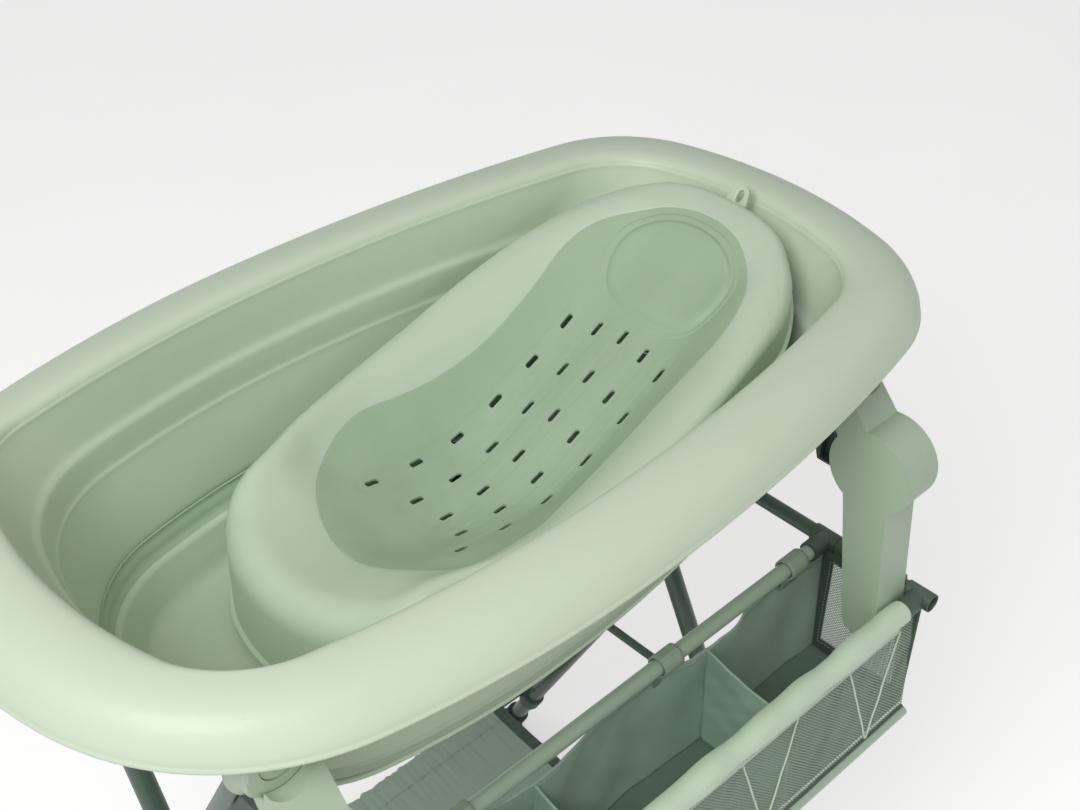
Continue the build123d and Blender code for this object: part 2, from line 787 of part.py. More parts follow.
def shelf_clip(leg_x):
    """The snap clip that holds the shelf rod to a leg."""
    down, centre = shelf_rod_place()
    bar = Vector(1, 0, 0)
    collar = leg_radius + shelf_clip_radius - shelf_rod_radius
    return leg_clip(leg_x, down, centre, bar, shelf_rod_radius, shelf_clip_radius, collar, shelf_clip_width)


def shelf_cloth():
    """The hanging shelf with a sleeve round each rod."""
    centre = shelf_rod_place()[1]
    inner = shelf_rod_radius + cloth_gap
    half = shelf_cloth_thickness / 2
    edge = centre.Y - inner - half
    top = ThreePointArc((-edge, centre.Z + half), (0, centre.Z - shelf_sag + half), (edge, centre.Z + half))
    bottom = ThreePointArc((-edge, centre.Z - half), (0, centre.Z - shelf_sag - half), (edge, centre.Z - half))
    ends = [Line((side * edge, centre.Z - half), (side * edge, centre.Z + half)) for side in (-1, 1)]
    sheet = extrude(Plane.YZ * make_face(Curve() + [top, bottom] + ends), amount=shelf_cloth_half_length, both=True)
    for side in (-1, 1):
        middle = Vector(0, side * centre.Y, centre.Z)
        reach = Vector(shelf_cloth_half_length, 0, 0)
        sheet += rod(middle - reach, middle + reach, shelf_sleeve_radius)
    for side in (-1, 1):
        middle = Vector(0, side * centre.Y, centre.Z)
        reach = Vector(shelf_cloth_half_length + overrun, 0, 0)
        sheet -= rod(middle - reach, middle + reach, inner)
    return sheet


def lock_place():
    """Distance down the leg and the far end of the spreader rod."""
    down = (cross_height - rim_height + lock_drop) / math.cos(lean)
    return down, along_leg(-down, -1)


def lock_bracket():
    """The collar on leg B with a boss and a pin for the spreader rod."""
    down, centre = lock_place()
    offset = Vector(leg_b_x, 0, 0)
    low = along_leg(-down - lock_collar_length / 2, -1) + offset
    high = along_leg(-down + lock_collar_length / 2, -1) + offset
    face_x = lock_plane_x + lock_eye_width / 2 + seat_gap
    body = rod(low, high, lock_collar_radius)
    body += rod((face_x, centre.Y, centre.Z), (leg_b_x, centre.Y, centre.Z), lock_bracket_radius)
    body -= rod(low - (high - low), high + (high - low), leg_radius)
    pin_end = lock_plane_x - lock_eye_width / 2 - seat_gap
    body += rod((pin_end, centre.Y, centre.Z), (face_x, centre.Y, centre.Z), lock_pin_radius)
    head_end = pin_end - bolt_head_height / 2
    return body + rod((head_end, centre.Y, centre.Z), (pin_end, centre.Y, centre.Z), lock_pin_radius + lock_head_gain)


def lock_rod():
    """The spreader rod with an eye on the bracket's pin."""
    centre = lock_place()[1]
    half = Vector(lock_eye_width / 2, 0, 0)
    pin = Vector(lock_plane_x, centre.Y, centre.Z)
    tip = Vector(lock_plane_x, -centre.Y + lock_hook_radius, centre.Z)
    bar = rod(pin, tip, lock_rod_radius) + rod(pin - half, pin + half, lock_eye_radius)
    return bar - rod(pin - half * 2, pin + half * 2, lock_pin_radius + lock_pin_clearance)


def lock_hook():
    """The moulded hook that drops over the stud, open downwards and towards the rod."""
    centre = lock_place()[1]
    stud = (-centre.Y, centre.Z)
    bore = lock_stud_radius + lock_hook_gap
    disc = Pos(*stud) * Circle(lock_hook_radius)
    away = math.radians(quarter_turn - leg_lean * 2 - lock_hook_turn)
    reach = lock_hook_reach * lock_hook_radius
    exit_point = (stud[0] + reach * math.sin(away), stud[1] - reach * math.cos(away))
    slot = make_hull((Pos(*stud) * Circle(bore)).edges() + (Pos(*exit_point) * Circle(bore)).edges())
    tip = Pos(stud[0] - lock_hook_radius + lock_stud_tip / 2, stud[1] - lock_hook_radius / 2)
    outline = disc + tip * Rectangle(lock_stud_tip, lock_hook_radius) - slot
    hook = extrude(Plane.YZ * outline, amount=lock_hook_width / 2, both=True)
    hook = Pos(lock_plane_x, 0, 0) * hook
    return hook - lock_rod()


def lock_collar():
    """The collar on leg A with the stud that the hook drops over."""
    down, centre = lock_place()
    offset = Vector(leg_a_x, 0, 0)
    low = along_leg(-down - lock_collar_length / 2, 1) + offset
    high = along_leg(-down + lock_collar_length / 2, 1) + offset
    body = rod(low, high, lock_collar_radius)
    stud_end = lock_plane_x - lock_hook_width / 2 - seat_gap
    body += rod((stud_end, -centre.Y, centre.Z), (leg_a_x, -centre.Y, centre.Z), lock_stud_radius)
    return body - rod(low - (high - low), high + (high - low), leg_radius)


def basket_tube():
    """The end tube that carries the basket, from leg B to the front rail."""
    start = (basket_tube_x, -basket_tube_inner_y, rail_height)
    end = (basket_tube_x, -front_rail_y - rail_radius, rail_height)
    return rod(start, end, rail_radius, rail_radius - rail_wall)


def tube_bracket():
    """The bracket that holds the end tube to leg B above the crossing."""
    up = (rail_height - cross_height) / math.cos(lean)
    offset = Vector(leg_b_x, 0, 0)
    low = along_leg(up - tube_bracket_length / 2, -1) + offset
    high = along_leg(up + tube_bracket_length / 2, -1) + offset
    middle = Vector(basket_tube_x, along_leg(up, -1).Y, rail_height)
    reach = Vector(0, tube_bracket_length / 2, 0)
    clip = rod(low, high, tube_bracket_radius) + rod(middle - reach, middle + reach, rail_socket_radius)
    clip -= rod(low - (high - low), high + (high - low), leg_radius)
    return clip - rod(middle - reach * 3, middle + reach * 3, rail_radius)


def long_rail(y, z, reach_x, radius, wall):
    """A tube along the basket."""
    return rod((-reach_x, y, z), (reach_x, y, z), radius, radius - wall)


def rail_socket(y):
    """The moulded joint between an end tube and a long rail."""
    half = rail_socket_length / 2
    centre = Vector(basket_tube_x, y, rail_height)
    along = Vector(0, half, 0)
    inward = Vector(rail_socket_length, 0, 0)
    joint = rod(centre - along, centre + along, rail_socket_radius) + rod(centre, centre - inward, rail_sleeve_radius)
    joint -= rod(centre - along * 2, centre + along * 2, rail_radius)
    return joint - rod(centre, centre - inward * 2, rail_radius)


def arm_clip():
    """The clip on the arm's outer face that grips the end tube."""
    share = (arm_bottom_drop - (rim_height - rail_height)) / (arm_bottom_drop - elbow_drop)
    y = -arm_bottom_y + share * (arm_bottom_y - elbow_y)
    half = clip_width / 2
    ring = rod((basket_tube_x, y - half, rail_height), (basket_tube_x, y + half, rail_height), clip_radius)
    ring -= rod((basket_tube_x, y - clip_width, rail_height), (basket_tube_x, y + clip_width, rail_height), rail_radius)
    return ring - elbow_arm()


def ribbon(y, z, reach, wave, folds):
    """A wavy strip of cloth seen from above, made of arcs that swing to either side in turn."""
    step = 2 * reach / folds
    edges = []
    for side in (-1, 1):
        aside = y + side * cloth / 2
        for fold in range(folds):
            swing = wave if fold % 2 else -wave
            x = -reach + fold * step
            edges.append(ThreePointArc((x, aside), (x + step / 2, aside + swing), (x + step, aside)))
    for x in (-reach, reach):
        edges.append(Line((x, y - cloth / 2), (x, y + cloth / 2)))
    return Pos(0, 0, z) * make_face(Curve() + edges)


def basket_back():
    """The back wall, hung below the back rail with soft folds."""
    reach = basket_tube_x - cloth - cloth_gap
    top = rail_height - basket_back_top_drop
    low = basket_floor_height + cloth_gap
    upper = ribbon(-back_rail_y, top, reach, basket_back_wave, basket_back_folds)
    lower = ribbon(-basket_back_base_y, low, reach, basket_back_wave * base_wave_share, basket_back_folds)
    return loft([lower, upper], ruled=True)


def basket_front():
    """The front wall with the sleeve round the front rail."""
    reach = basket_tube_x - cloth - cloth_gap
    sleeve_reach = basket_tube_x - rail_socket_length - cloth_gap
    top = rail_height - rail_sleeve_radius - cloth_gap
    low = bottom_rail_height + bottom_rail_radius + cloth_gap
    upper = ribbon(-front_rail_y, top, reach, basket_front_wave, basket_front_folds)
    lower = ribbon(-basket_front_base_y, low, reach, basket_front_wave * base_wave_share, basket_front_folds)
    wall = loft([lower, upper], ruled=True)
    wall += block((-sleeve_reach, -front_rail_y - basket_front_wave, top - cloth),
                  (sleeve_reach, -front_rail_y + basket_front_wave, top + 2 * cloth))
    wall += long_rail(-front_rail_y, rail_height, sleeve_reach, sleeve_radius, sleeve_radius - rail_radius - cloth_gap)
    start = (-sleeve_reach - overrun, -front_rail_y, rail_height)
    end = (sleeve_reach + overrun, -front_rail_y, rail_height)
    return wall - rod(start, end, rail_radius + cloth_gap)


def basket_floor():
    """The basket's floor."""
    reach = basket_tube_x - cloth - cloth_gap
    front = -basket_front_base_y + cloth / 2 + basket_front_wave * base_wave_share + cloth_gap
    return block((-reach, front, basket_floor_height - cloth), (reach, -basket_back_base_y + basket_back_wave, basket_floor_height))


def basket_end():
    """The end panel under the end tube."""
    half = cloth / 2
    front = -front_rail_y + rail_socket_length / 2 + cloth_gap
    back = -back_rail_y - rail_socket_length / 2 - cloth_gap
    low = basket_floor_height + cloth_gap
    top = rail_height - clip_radius - cloth_gap
    outline = make_face(Polyline((front - basket_gap, low), (front, top), (back, top), (back, low), close=True))
    panel = extrude(Plane.YZ * outline, amount=half, both=True)
    return Pos(basket_tube_x, 0, 0) * panel


def basket_divider(x):
    """A divider with a sagging top edge."""
    front = -basket_front_base_y + basket_front_wave + cloth + cloth_gap
    front_top = -front_rail_y + basket_front_wave + cloth + cloth_gap
    back = -basket_back_base_y - basket_back_wave - cloth - cloth_gap
    low = basket_floor_height + cloth_gap
    top = rail_height - basket_back_top_drop - divider_sag / 2
    edges = [
        Line((front, low), (back, low)),
        Line((back, low), (back, top)),
        ThreePointArc((back, top), ((front_top + back) / 2, top - divider_sag / 2), (front_top, top)),
        Line((front_top, top), (front, low)),
    ]
    panel = extrude(Plane.YZ * make_face(Curve() + edges), amount=divider_thickness / 2, both=True)
    return Pos(x, 0, 0) * panel


def basket_loop(x):
    """A webbing loop round the back rail, with a tail on the back wall's top edge."""
    half = loop_width / 2
    top = rail_height - basket_back_top_drop
    outer = rail_radius + cloth_gap + loop_thickness
    loop = rod((x - half, -back_rail_y, rail_height), (x + half, -back_rail_y, rail_height), outer)
    loop += block((x - half, -back_rail_y - loop_thickness, top + cloth_gap), (x + half, -back_rail_y + loop_thickness, rail_height))
    start = (x - loop_width, -back_rail_y, rail_height)
    end = (x + loop_width, -back_rail_y, rail_height)
    return loop - rod(start, end, rail_radius + cloth_gap)


def both_ends(solid):
    """A piece and its mirror image at the foot end, as one group."""
    return Part() + [solid, mirror_x(solid)]


def save_pair(name, solid):
    """Writes a piece at the head end and its mirror image at the foot end."""
    save(name + "_head", solid)
    save(name + "_foot", mirror_x(solid))


save("tub_ring", tub_ring())
save("tub_band", tub_band())
save("tub_base", tub_base())
save("drain_seat", drain_seat())
save("drain_plug", drain_plug())
save("support_shell", support_shell())
save("support_inlay", support_inlay())
save("support_headrest", support_headrest())
save("support_feet", Part() + support_feet())
save_pair("leg_b", leg(leg_b_x, -1))
save_pair("leg_a", leg(leg_a_x, 1))
save("far_feet", both_ends(foot(leg_b_x, -1)))
save("near_feet", both_ends(foot(leg_a_x, 1)))
save_pair("hub_near", hub(leg_b_x, -1))
save_pair("hub_far", hub(leg_a_x, 1))
save_pair("button_near", button(-1))
save_pair("button_far", button(1))
save("button_springs_near", both_ends(button_spring(-1)))
save("button_springs_far", both_ends(button_spring(1)))
save_pair("elbow_arm", elbow_arm())
save_pair("arm_web", arm_web())
save("pivot_bolts", both_ends(bolt()))
save("pivot_spacers", both_ends(spacer()))
save("shelf_rod_far", shelf_rod(leg_b_x))
save("shelf_rod_near", mirror_y(shelf_rod(leg_a_x)))
save("shelf_clips_far", both_ends(shelf_clip(leg_b_x)))
save("shelf_clips_near", both_ends(mirror_y(shelf_clip(leg_a_x))))
save("shelf_cloth", shelf_cloth())
save("lock_brackets", both_ends(lock_bracket()))
save("lock_collars", both_ends(lock_collar()))
save_pair("lock_rod", lock_rod())
save_pair("lock_hook", lock_hook())
save_pair("basket_tube", basket_tube())
save("tube_brackets", both_ends(tube_bracket()))
save("arm_clips", both_ends(arm_clip()))
rail_reach = basket_tube_x - rail_radius
save("back_rail", long_rail(-back_rail_y, rail_height, rail_reach, rail_radius, rail_wall))
save("front_rail", long_rail(-front_rail_y, rail_height, rail_reach, rail_radius, rail_wall))
save("bottom_rail", long_rail(-bottom_rail_y, bottom_rail_height, basket_tube_x, bottom_rail_radius, rail_wall))
save("rail_sockets", Part() + [both_ends(rail_socket(-back_rail_y)), both_ends(rail_socket(-front_rail_y))])
save("basket_back", basket_back())
save("basket_front", basket_front())
save("basket_floor", basket_floor())
save_pair("basket_end", basket_end())
save("basket_divider_head", basket_divider(divider_head_x))
save("basket_divider_foot", basket_divider(divider_foot_x))
save("basket_loops", Part() + [basket_loop(x) for x in loop_places_x])
print("row shift", row_shift.position)
print("crossing height", cross_height, "lock pin", lock_place()[1], "button", hub_x, rim_height - button_drop)
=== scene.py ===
import json
import logging
import math
from dataclasses import dataclass, replace
from enum import Enum

import bmesh
import bpy
import numpy as np
from mathutils import Matrix, Vector


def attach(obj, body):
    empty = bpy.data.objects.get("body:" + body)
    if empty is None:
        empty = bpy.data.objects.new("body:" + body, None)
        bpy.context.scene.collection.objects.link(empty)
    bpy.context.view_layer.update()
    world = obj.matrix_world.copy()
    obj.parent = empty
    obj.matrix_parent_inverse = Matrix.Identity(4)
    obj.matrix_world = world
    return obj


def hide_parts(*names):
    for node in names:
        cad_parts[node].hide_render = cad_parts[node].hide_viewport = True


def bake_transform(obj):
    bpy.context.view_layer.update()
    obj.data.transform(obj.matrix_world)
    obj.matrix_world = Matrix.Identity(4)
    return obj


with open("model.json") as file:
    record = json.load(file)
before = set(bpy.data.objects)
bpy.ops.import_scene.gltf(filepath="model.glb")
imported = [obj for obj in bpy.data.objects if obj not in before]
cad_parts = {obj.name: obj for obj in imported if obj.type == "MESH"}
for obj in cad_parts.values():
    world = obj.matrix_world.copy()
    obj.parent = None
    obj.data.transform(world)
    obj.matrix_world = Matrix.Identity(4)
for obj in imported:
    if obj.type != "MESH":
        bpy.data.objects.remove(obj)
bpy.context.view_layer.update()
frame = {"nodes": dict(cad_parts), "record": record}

# Sizes are in millimetres in the stand's own frame, x and y zero in the middle of the four feet, as in the
# part's source. to_row moves them to the row frame, in metres.
ROW_SHIFT = np.array((-13.0, 5.86529, 0.0))
MM = 0.001
CREST = 950.0
FULL_TURN = 2 * math.pi
DUST = (226, 230, 222)
TO_NEAR = np.array((0, -1, 0))
log = logging.getLogger("bath")


class Weave(Enum):
    """How a surface's fine structure is made."""

    MOULDED = "moulded"
    CANVAS = "canvas"
    NET = "net"
    WEBBING = "webbing"


class Face(Enum):
    """The two axes that a cloth's threads follow."""

    XY = (0, 1)
    XZ = (0, 2)
    YZ = (1, 2)


def to_row(points: np.ndarray) -> np.ndarray:
    """Points in the stand's frame in millimetres, as row points in metres."""
    return (np.asarray(points, float) + ROW_SHIFT) * MM


def circle(count: int) -> np.ndarray:
    """Angles evenly spaced round a circle."""
    return np.linspace(0, FULL_TURN, count, endpoint=False)


def travelled(path: np.ndarray) -> np.ndarray:
    """Distances from a path's first point along it."""
    return np.concatenate([[0.0], np.cumsum(np.linalg.norm(np.diff(path, axis=0), axis=1))])


def arc(centre: tuple[float, float], radius: float, turns: np.ndarray) -> list[tuple[float, float]]:
    """Points of an arc in a plane, at given angles."""
    return [(centre[0] + radius * math.cos(turn), centre[1] + radius * math.sin(turn)) for turn in turns]


def level(plan_x: np.ndarray, plan_y: np.ndarray, z: float) -> np.ndarray:
    """Points in plan, all at one height."""
    return np.column_stack([plan_x, plan_y, np.full(len(plan_x), z)])


def normals(section: np.ndarray) -> np.ndarray:
    """Unit normals of a section, to the right of the way it runs."""
    tangent = np.gradient(section, axis=0)
    normal = np.column_stack([tangent[:, 1], -tangent[:, 0]])
    return normal / np.linalg.norm(normal, axis=1)[:, None]


def swept(lengths: np.ndarray, section: np.ndarray) -> np.ndarray:
    """Carries a section along x.

    Args:
        lengths: places along.
        section: its y and z, the same for all places or given for each.

    Returns:
        Points by place along and place round the section.
    """
    points = np.empty((len(lengths), section.shape[-2], 3))
    points[..., 0] = lengths[:, None]
    points[..., 1:] = section
    return points


def linear(colour: tuple[int, int, int]) -> tuple[float, float, float, float]:
    """A display colour from 0 to 255, as scene-linear values with full alpha."""
    shares = [c / 255 for c in colour]
    return (*[s / 12.92 if s <= 0.04045 else ((s + 0.055) / 1.055) ** 2.4 for s in shares], 1.0)


class Graph:
    """Adds nodes to a tree and joins them."""

    def __init__(self, tree: bpy.types.NodeTree) -> None:
        """Keeps the tree that the nodes go into."""
        self.tree = tree

    def node(self, kind: str, **settings: object) -> bpy.types.Node:
        """Adds a node.

        Args:
            kind: Blender's name of the node type.
            settings: attributes to set on it.

        Returns:
            The new node.
        """
        made = self.tree.nodes.new(kind)
        for name, value in settings.items():
            setattr(made, name, value)
        return made

    def feed(self, socket: bpy.types.NodeSocket, value: object) -> None:
        """Joins a socket to another, or sets its value.

        Args:
            socket: the input.
            value: an output socket, a number, or a vector.
        """
        if isinstance(value, bpy.types.NodeSocket):
            self.tree.links.new(value, socket)
        else:
            socket.default_value = value

    def maths(self, operation: str, first: object, second: object = 0.0) -> bpy.types.NodeSocket:
        """A Math node of two values.

        Args:
            operation: the node's operation.
            first: a socket or number.
            second: a socket or number.

        Returns:
            The output socket.
        """
        made = self.node("ShaderNodeMath", operation=operation)
        self.feed(made.inputs[0], first)
        self.feed(made.inputs[1], second)
        return made.outputs[0]

    def times(self, first: object, second: object) -> bpy.types.NodeSocket:
        """A Math node that multiplies two values."""
        return self.maths("MULTIPLY", first, second)

    def noise(self, where: object, scale: object, detail: float = 3.0) -> bpy.types.NodeSocket:
        """A noise field.

        Args:
            where: the coordinates.
            scale: features per metre.
            detail: octaves.

        Returns:
            The factor's socket.
        """
        made = self.node("ShaderNodeTexNoise")
        self.feed(made.inputs["Vector"], where)
        self.feed(made.inputs["Scale"], scale)
        made.inputs["Detail"].default_value = detail
        return made.outputs["Fac"]

    def mix(self, share: object, first: object, second: object) -> bpy.types.NodeSocket:
        """A mix of two colours.

        Args:
            share: how much of the second.
            first: a colour or socket.
            second: a colour or socket.

        Returns:
            The colour's socket.
        """
        made = self.node("ShaderNodeMix", data_type="RGBA")
        for index, value in ((0, share), (6, first), (7, second)):
            self.feed(made.inputs[index], value)
        return made.outputs[2]


def effect(
    name: str, inputs: dict[str, str], outputs: dict[str, str]
) -> tuple[bpy.types.NodeTree, Graph, bpy.types.bpy_prop_collection, bpy.types.bpy_prop_collection]:
    """Starts a shader node group with named inputs and outputs.

    Args:
        name: the group's name.
        inputs: socket names and their types.
        outputs: socket names and their types.

    Returns:
        The group, a graph on it, what it is given and what it gives.
    """
    tree = bpy.data.node_groups.new(name, "ShaderNodeTree")
    for direction, sockets in (("INPUT", inputs), ("OUTPUT", outputs)):
        for label, kind in sockets.items():
            tree.interface.new_socket(name=label, in_out=direction, socket_type=kind)
    graph = Graph(tree)
    given, result = graph.node("NodeGroupInput"), graph.node("NodeGroupOutput")
    return tree, graph, given.outputs, result.inputs


FLOAT, COLOUR, VECTOR = "NodeSocketFloat", "NodeSocketColor", "NodeSocketVector"


class Effects:
    """The shader node groups that the finishes share, each built once."""

    def __init__(self) -> None:
        """Builds every group."""
        self.tone = self.make_tone()
        self.grain = self.make_grain()
        self.weave = self.make_weave()
        self.net = self.make_net()
        self.wear = self.make_wear()

    def make_tone(self) -> bpy.types.NodeTree:
        """Slow changes of colour and gloss over a surface."""
        tree, graph, given, result = effect(
            "tone",
            {"Where": VECTOR, "Colour": COLOUR, "Shade": COLOUR, "Scale": FLOAT, "Amount": FLOAT, "Roughness": FLOAT},
            {"Colour": COLOUR, "Roughness": FLOAT},
        )
        slow = graph.noise(given["Where"], given["Scale"])
        fine = graph.noise(given["Where"], graph.times(given["Scale"], 14.0), 2.0)
        both = graph.maths("ADD", graph.times(slow, 0.7), graph.times(fine, 0.3))
        share = graph.times(both, given["Amount"])
        graph.feed(result["Colour"], graph.mix(share, given["Colour"], given["Shade"]))
        swing = graph.times(graph.maths("SUBTRACT", both, 0.5), 0.22)
        graph.feed(result["Roughness"], graph.maths("ADD", given["Roughness"], swing))
        return tree

    def make_grain(self) -> bpy.types.NodeTree:
        """The fine spark-eroded grain of a moulding, as a height."""
        tree, graph, given, result = effect("grain", {"Where": VECTOR, "Scale": FLOAT}, {"Height": FLOAT})
        cell = graph.node("ShaderNodeTexVoronoi", feature="SMOOTH_F1")
        graph.feed(cell.inputs["Vector"], given["Where"])
        graph.feed(cell.inputs["Scale"], given["Scale"])
        wave = graph.noise(given["Where"], graph.times(given["Scale"], 0.06), 2.0)
        deep = graph.times(wave, 2.0)
        graph.feed(result["Height"], graph.maths("ADD", cell.outputs["Distance"], deep))
        return tree

    def make_weave(self) -> bpy.types.NodeTree:
        """A plain weave of two sets of threads, as a height and painted shade in the gaps between them."""
        tree, graph, given, result = effect(
            "weave",
            {"Along": FLOAT, "Across": FLOAT, "Threads": FLOAT, "Colour": COLOUR, "Depth": FLOAT},
            {"Colour": COLOUR, "Height": FLOAT},
        )
        turns = [
            graph.times(graph.times(given[side], given["Threads"]), math.pi)
            for side in ("Along", "Across")
        ]
        rounds = [graph.maths("ABSOLUTE", graph.maths("SINE", turn)) for turn in turns]
        crossing = graph.times(graph.maths("SINE", turns[0]), graph.maths("SINE", turns[1]))
        over = graph.maths("GREATER_THAN", crossing, 0.0)
        warp = graph.times(rounds[0], over)
        weft = graph.times(rounds[1], graph.maths("SUBTRACT", 1.0, over))
        height = graph.maths("ADD", warp, weft)
        # Painted shade: the colour is mixed towards black where the threads dip, in the gaps between them.
        dark = graph.times(graph.maths("SUBTRACT", 1.0, height), given["Depth"])
        graph.feed(result["Colour"], graph.mix(dark, given["Colour"], (0.0, 0.0, 0.0, 1.0)))
        graph.feed(result["Height"], height)
        return tree

    def make_net(self) -> bpy.types.NodeTree:
        """An open net, as an alpha with holes."""
        tree, graph, given, result = effect(
            "net", {"Along": FLOAT, "Across": FLOAT, "Holes": FLOAT, "Open": FLOAT}, {"Alpha": FLOAT, "Height": FLOAT}
        )
        first = graph.times(given["Along"], given["Holes"])
        second = graph.times(given["Across"], given["Holes"])
        turns = [
            graph.times(graph.maths("ADD", first, second), math.pi),
            graph.times(graph.maths("SUBTRACT", first, second), math.pi),
        ]
        waves = [graph.maths("ABSOLUTE", graph.maths("SINE", turn)) for turn in turns]
        hole = graph.times(waves[0], waves[1])
        graph.feed(result["Alpha"], graph.maths("LESS_THAN", hole, given["Open"]))
        graph.feed(result["Height"], graph.maths("SUBTRACT", 1.0, hole))
        return tree

    def make_wear(self) -> bpy.types.NodeTree:
        """Dust and fine rubbing on faces that look up."""
        tree, graph, given, result = effect(
            "wear",
            {"Where": VECTOR, "Facing": VECTOR, "Colour": COLOUR, "Dust": COLOUR, "Amount": FLOAT},
            {"Colour": COLOUR},
        )
        parts = graph.node("ShaderNodeSeparateXYZ")
        graph.feed(parts.inputs[0], given["Facing"])
        up = graph.maths("MAXIMUM", parts.outputs["Z"], 0.0)
        streak = graph.noise(given["Where"], 55.0, 4.0)
        share = graph.times(graph.times(up, streak), given["Amount"])
        graph.feed(result["Colour"], graph.mix(share, given["Colour"], given["Dust"]))
        return tree


@dataclass(frozen=True)
class Finish:
    """One finish: its colours, gloss and fine structure."""

    name: str
    slot: str
    colour: tuple[int, int, int]
    shade: tuple[int, int, int]
    roughness: float = 0.5
    scale: float = 9.0
    amount: float = 0.5
    grain: float = 1800.0
    bump: float = 0.05
    weave: Weave = Weave.MOULDED
    face: Face = Face.XY
    threads: float = 900.0
    metallic: float = 0.0
    coat: float = 0.0
    sheen: float = 0.0
    dust: float = 0.12
    open_share: float = 0.42

    def build(self, effects: Effects) -> bpy.types.Material:
        """Makes the material.

        Args:
            effects: the shared node groups.

        Returns:
            The material, with its colour, roughness and bump from node groups.
        """
        material = bpy.data.materials.new(self.name)
        material.use_nodes = True
        graph = Graph(material.node_tree)
        shader = material.node_tree.nodes["Principled BSDF"]
        where = graph.node("ShaderNodeTexCoord").outputs["Object"]
        tone = self.place(graph, effects.tone, {
            "Where": where, "Colour": linear(self.colour), "Shade": linear(self.shade),
            "Scale": self.scale, "Amount": self.amount, "Roughness": self.roughness,
        })
        wear = self.place(graph, effects.wear, {
            "Where": where, "Facing": graph.node("ShaderNodeNewGeometry").outputs["Normal"],
            "Colour": tone.outputs["Colour"], "Dust": linear(DUST), "Amount": self.dust,
        })
        colour, height = wear.outputs["Colour"], None
        if self.weave is Weave.MOULDED:
            height = self.place(graph, effects.grain, {"Where": where, "Scale": self.grain}).outputs["Height"]
        else:
            parts = graph.node("ShaderNodeSeparateXYZ")
            graph.feed(parts.inputs[0], where)
            along, across = (parts.outputs[axis] for axis in self.face.value)
            if self.weave is Weave.NET:
                net = self.place(graph, effects.net, {
                    "Along": along, "Across": across, "Holes": self.threads, "Open": self.open_share,
                })
                graph.feed(shader.inputs["Alpha"], net.outputs["Alpha"])
                height = net.outputs["Height"]
            else:
                # The weave's colour carries painted shade, darker in the gaps between threads by a depth of 0.35.
                cloth = self.place(graph, effects.weave, {
                    "Along": along, "Across": across, "Threads": self.threads, "Colour": colour, "Depth": 0.35,
                })
                colour, height = cloth.outputs["Colour"], cloth.outputs["Height"]
        bump = graph.node("ShaderNodeBump")
        for name, value in (("Strength", self.bump), ("Distance", MM), ("Height", height)):
            graph.feed(bump.inputs[name], value)
        for name, value in (
            ("Normal", bump.outputs["Normal"]), ("Base Color", colour), ("Roughness", tone.outputs["Roughness"]),
            ("Metallic", self.metallic), ("Coat Weight", self.coat), ("Sheen Weight", self.sheen),
        ):
            graph.feed(shader.inputs[name], value)
        return material

    @staticmethod
    def place(graph: Graph, tree: bpy.types.NodeTree, values: dict[str, object]) -> bpy.types.Node:
        """Puts a shared group into a material.

        Args:
            graph: the material's graph.
            tree: the group.
            values: what each input is joined to or set to.

        Returns:
            The group's node.
        """
        made = graph.node("ShaderNodeGroup", node_tree=tree)
        for name, value in values.items():
            graph.feed(made.inputs[name], value)
        return made


TUB_SHELL = Finish(
    "tub_moulding", "tub_shell", (204, 219, 197), (193, 209, 186), 0.47, 6.0, 0.5, 1500.0, 0.04, coat=0.08
)
TUB_BAND = Finish("soft_band_rubber", "soft_band", (182, 200, 176), (171, 190, 166), 0.58, 12.0, 0.5, 2200.0, 0.06)
SUPPORT_BODY = Finish(
    "support_moulding", "support_body", (196, 212, 190), (186, 203, 180), 0.46, 7.0, 0.5, 1500.0, 0.05
)
SUPPORT_INLAY = Finish(
    "support_soft_inlay", "support_inlay", (163, 184, 156), (154, 176, 148), 0.58, 8.0, 0.5, 1700.0, 0.07
)
RUBBER = Finish("foot_rubber", "rubber", (54, 66, 58), (44, 55, 48), 0.7, 14.0, 0.5, 2000.0, 0.08)
DARK_FRAME = Finish(
    "painted_leg_tube", "dark_frame", (70, 92, 78), (60, 81, 68), 0.36, 10.0, 0.5, 2600.0, 0.03, coat=0.15
)
PALE_RAIL = Finish(
    "painted_rail_tube", "pale_rail", (170, 189, 169), (160, 179, 159), 0.38, 10.0, 0.5, 2600.0, 0.03, coat=0.1
)
PALE_MOULDING = Finish("pale_moulding", "pale_moulding", (176, 193, 172), (165, 183, 161), 0.48, 9.0, 0.5, 1500.0, 0.06)
DARK_MOULDING = Finish("dark_moulding", "dark_moulding", (62, 82, 70), (52, 70, 59), 0.52, 10.0, 0.5, 1600.0, 0.07)
METAL = Finish("zinc_metal", "metal", (176, 178, 176), (150, 152, 150), 0.34, 30.0, 0.6, 2600.0, 0.03, metallic=1.0)
SHELF_FABRIC = Finish(
    "shelf_canvas", "shelf_fabric", (178, 199, 181), (164, 187, 168), 0.62, 14.0, 0.6, 0.0, 0.35, Weave.CANVAS, Face.XY,
    sheen=0.15,
)
BASKET_FABRIC = Finish(
    "basket_canvas", "basket_fabric", (176, 201, 181), (156, 183, 162), 0.55, 14.0, 0.6, 0.0, 0.16, Weave.CANVAS,
    Face.XZ, sheen=0.15,
)
BASKET_SLEEVE = Finish(
    "basket_sleeve_canvas", "basket_fabric", (204, 222, 200), (190, 209, 187), 0.58, 14.0, 0.6, 1500.0, 0.1, sheen=0.15
)
BASKET_END_FABRIC = replace(BASKET_FABRIC, name="basket_end_canvas", face=Face.YZ)
BASKET_FLOOR_FABRIC = Finish(
    "basket_floor_canvas", "basket_fabric", (112, 136, 118), (98, 122, 104), 0.6, 14.0, 0.6, 0.0, 0.16, Weave.CANVAS,
    Face.XY, sheen=0.1,
)
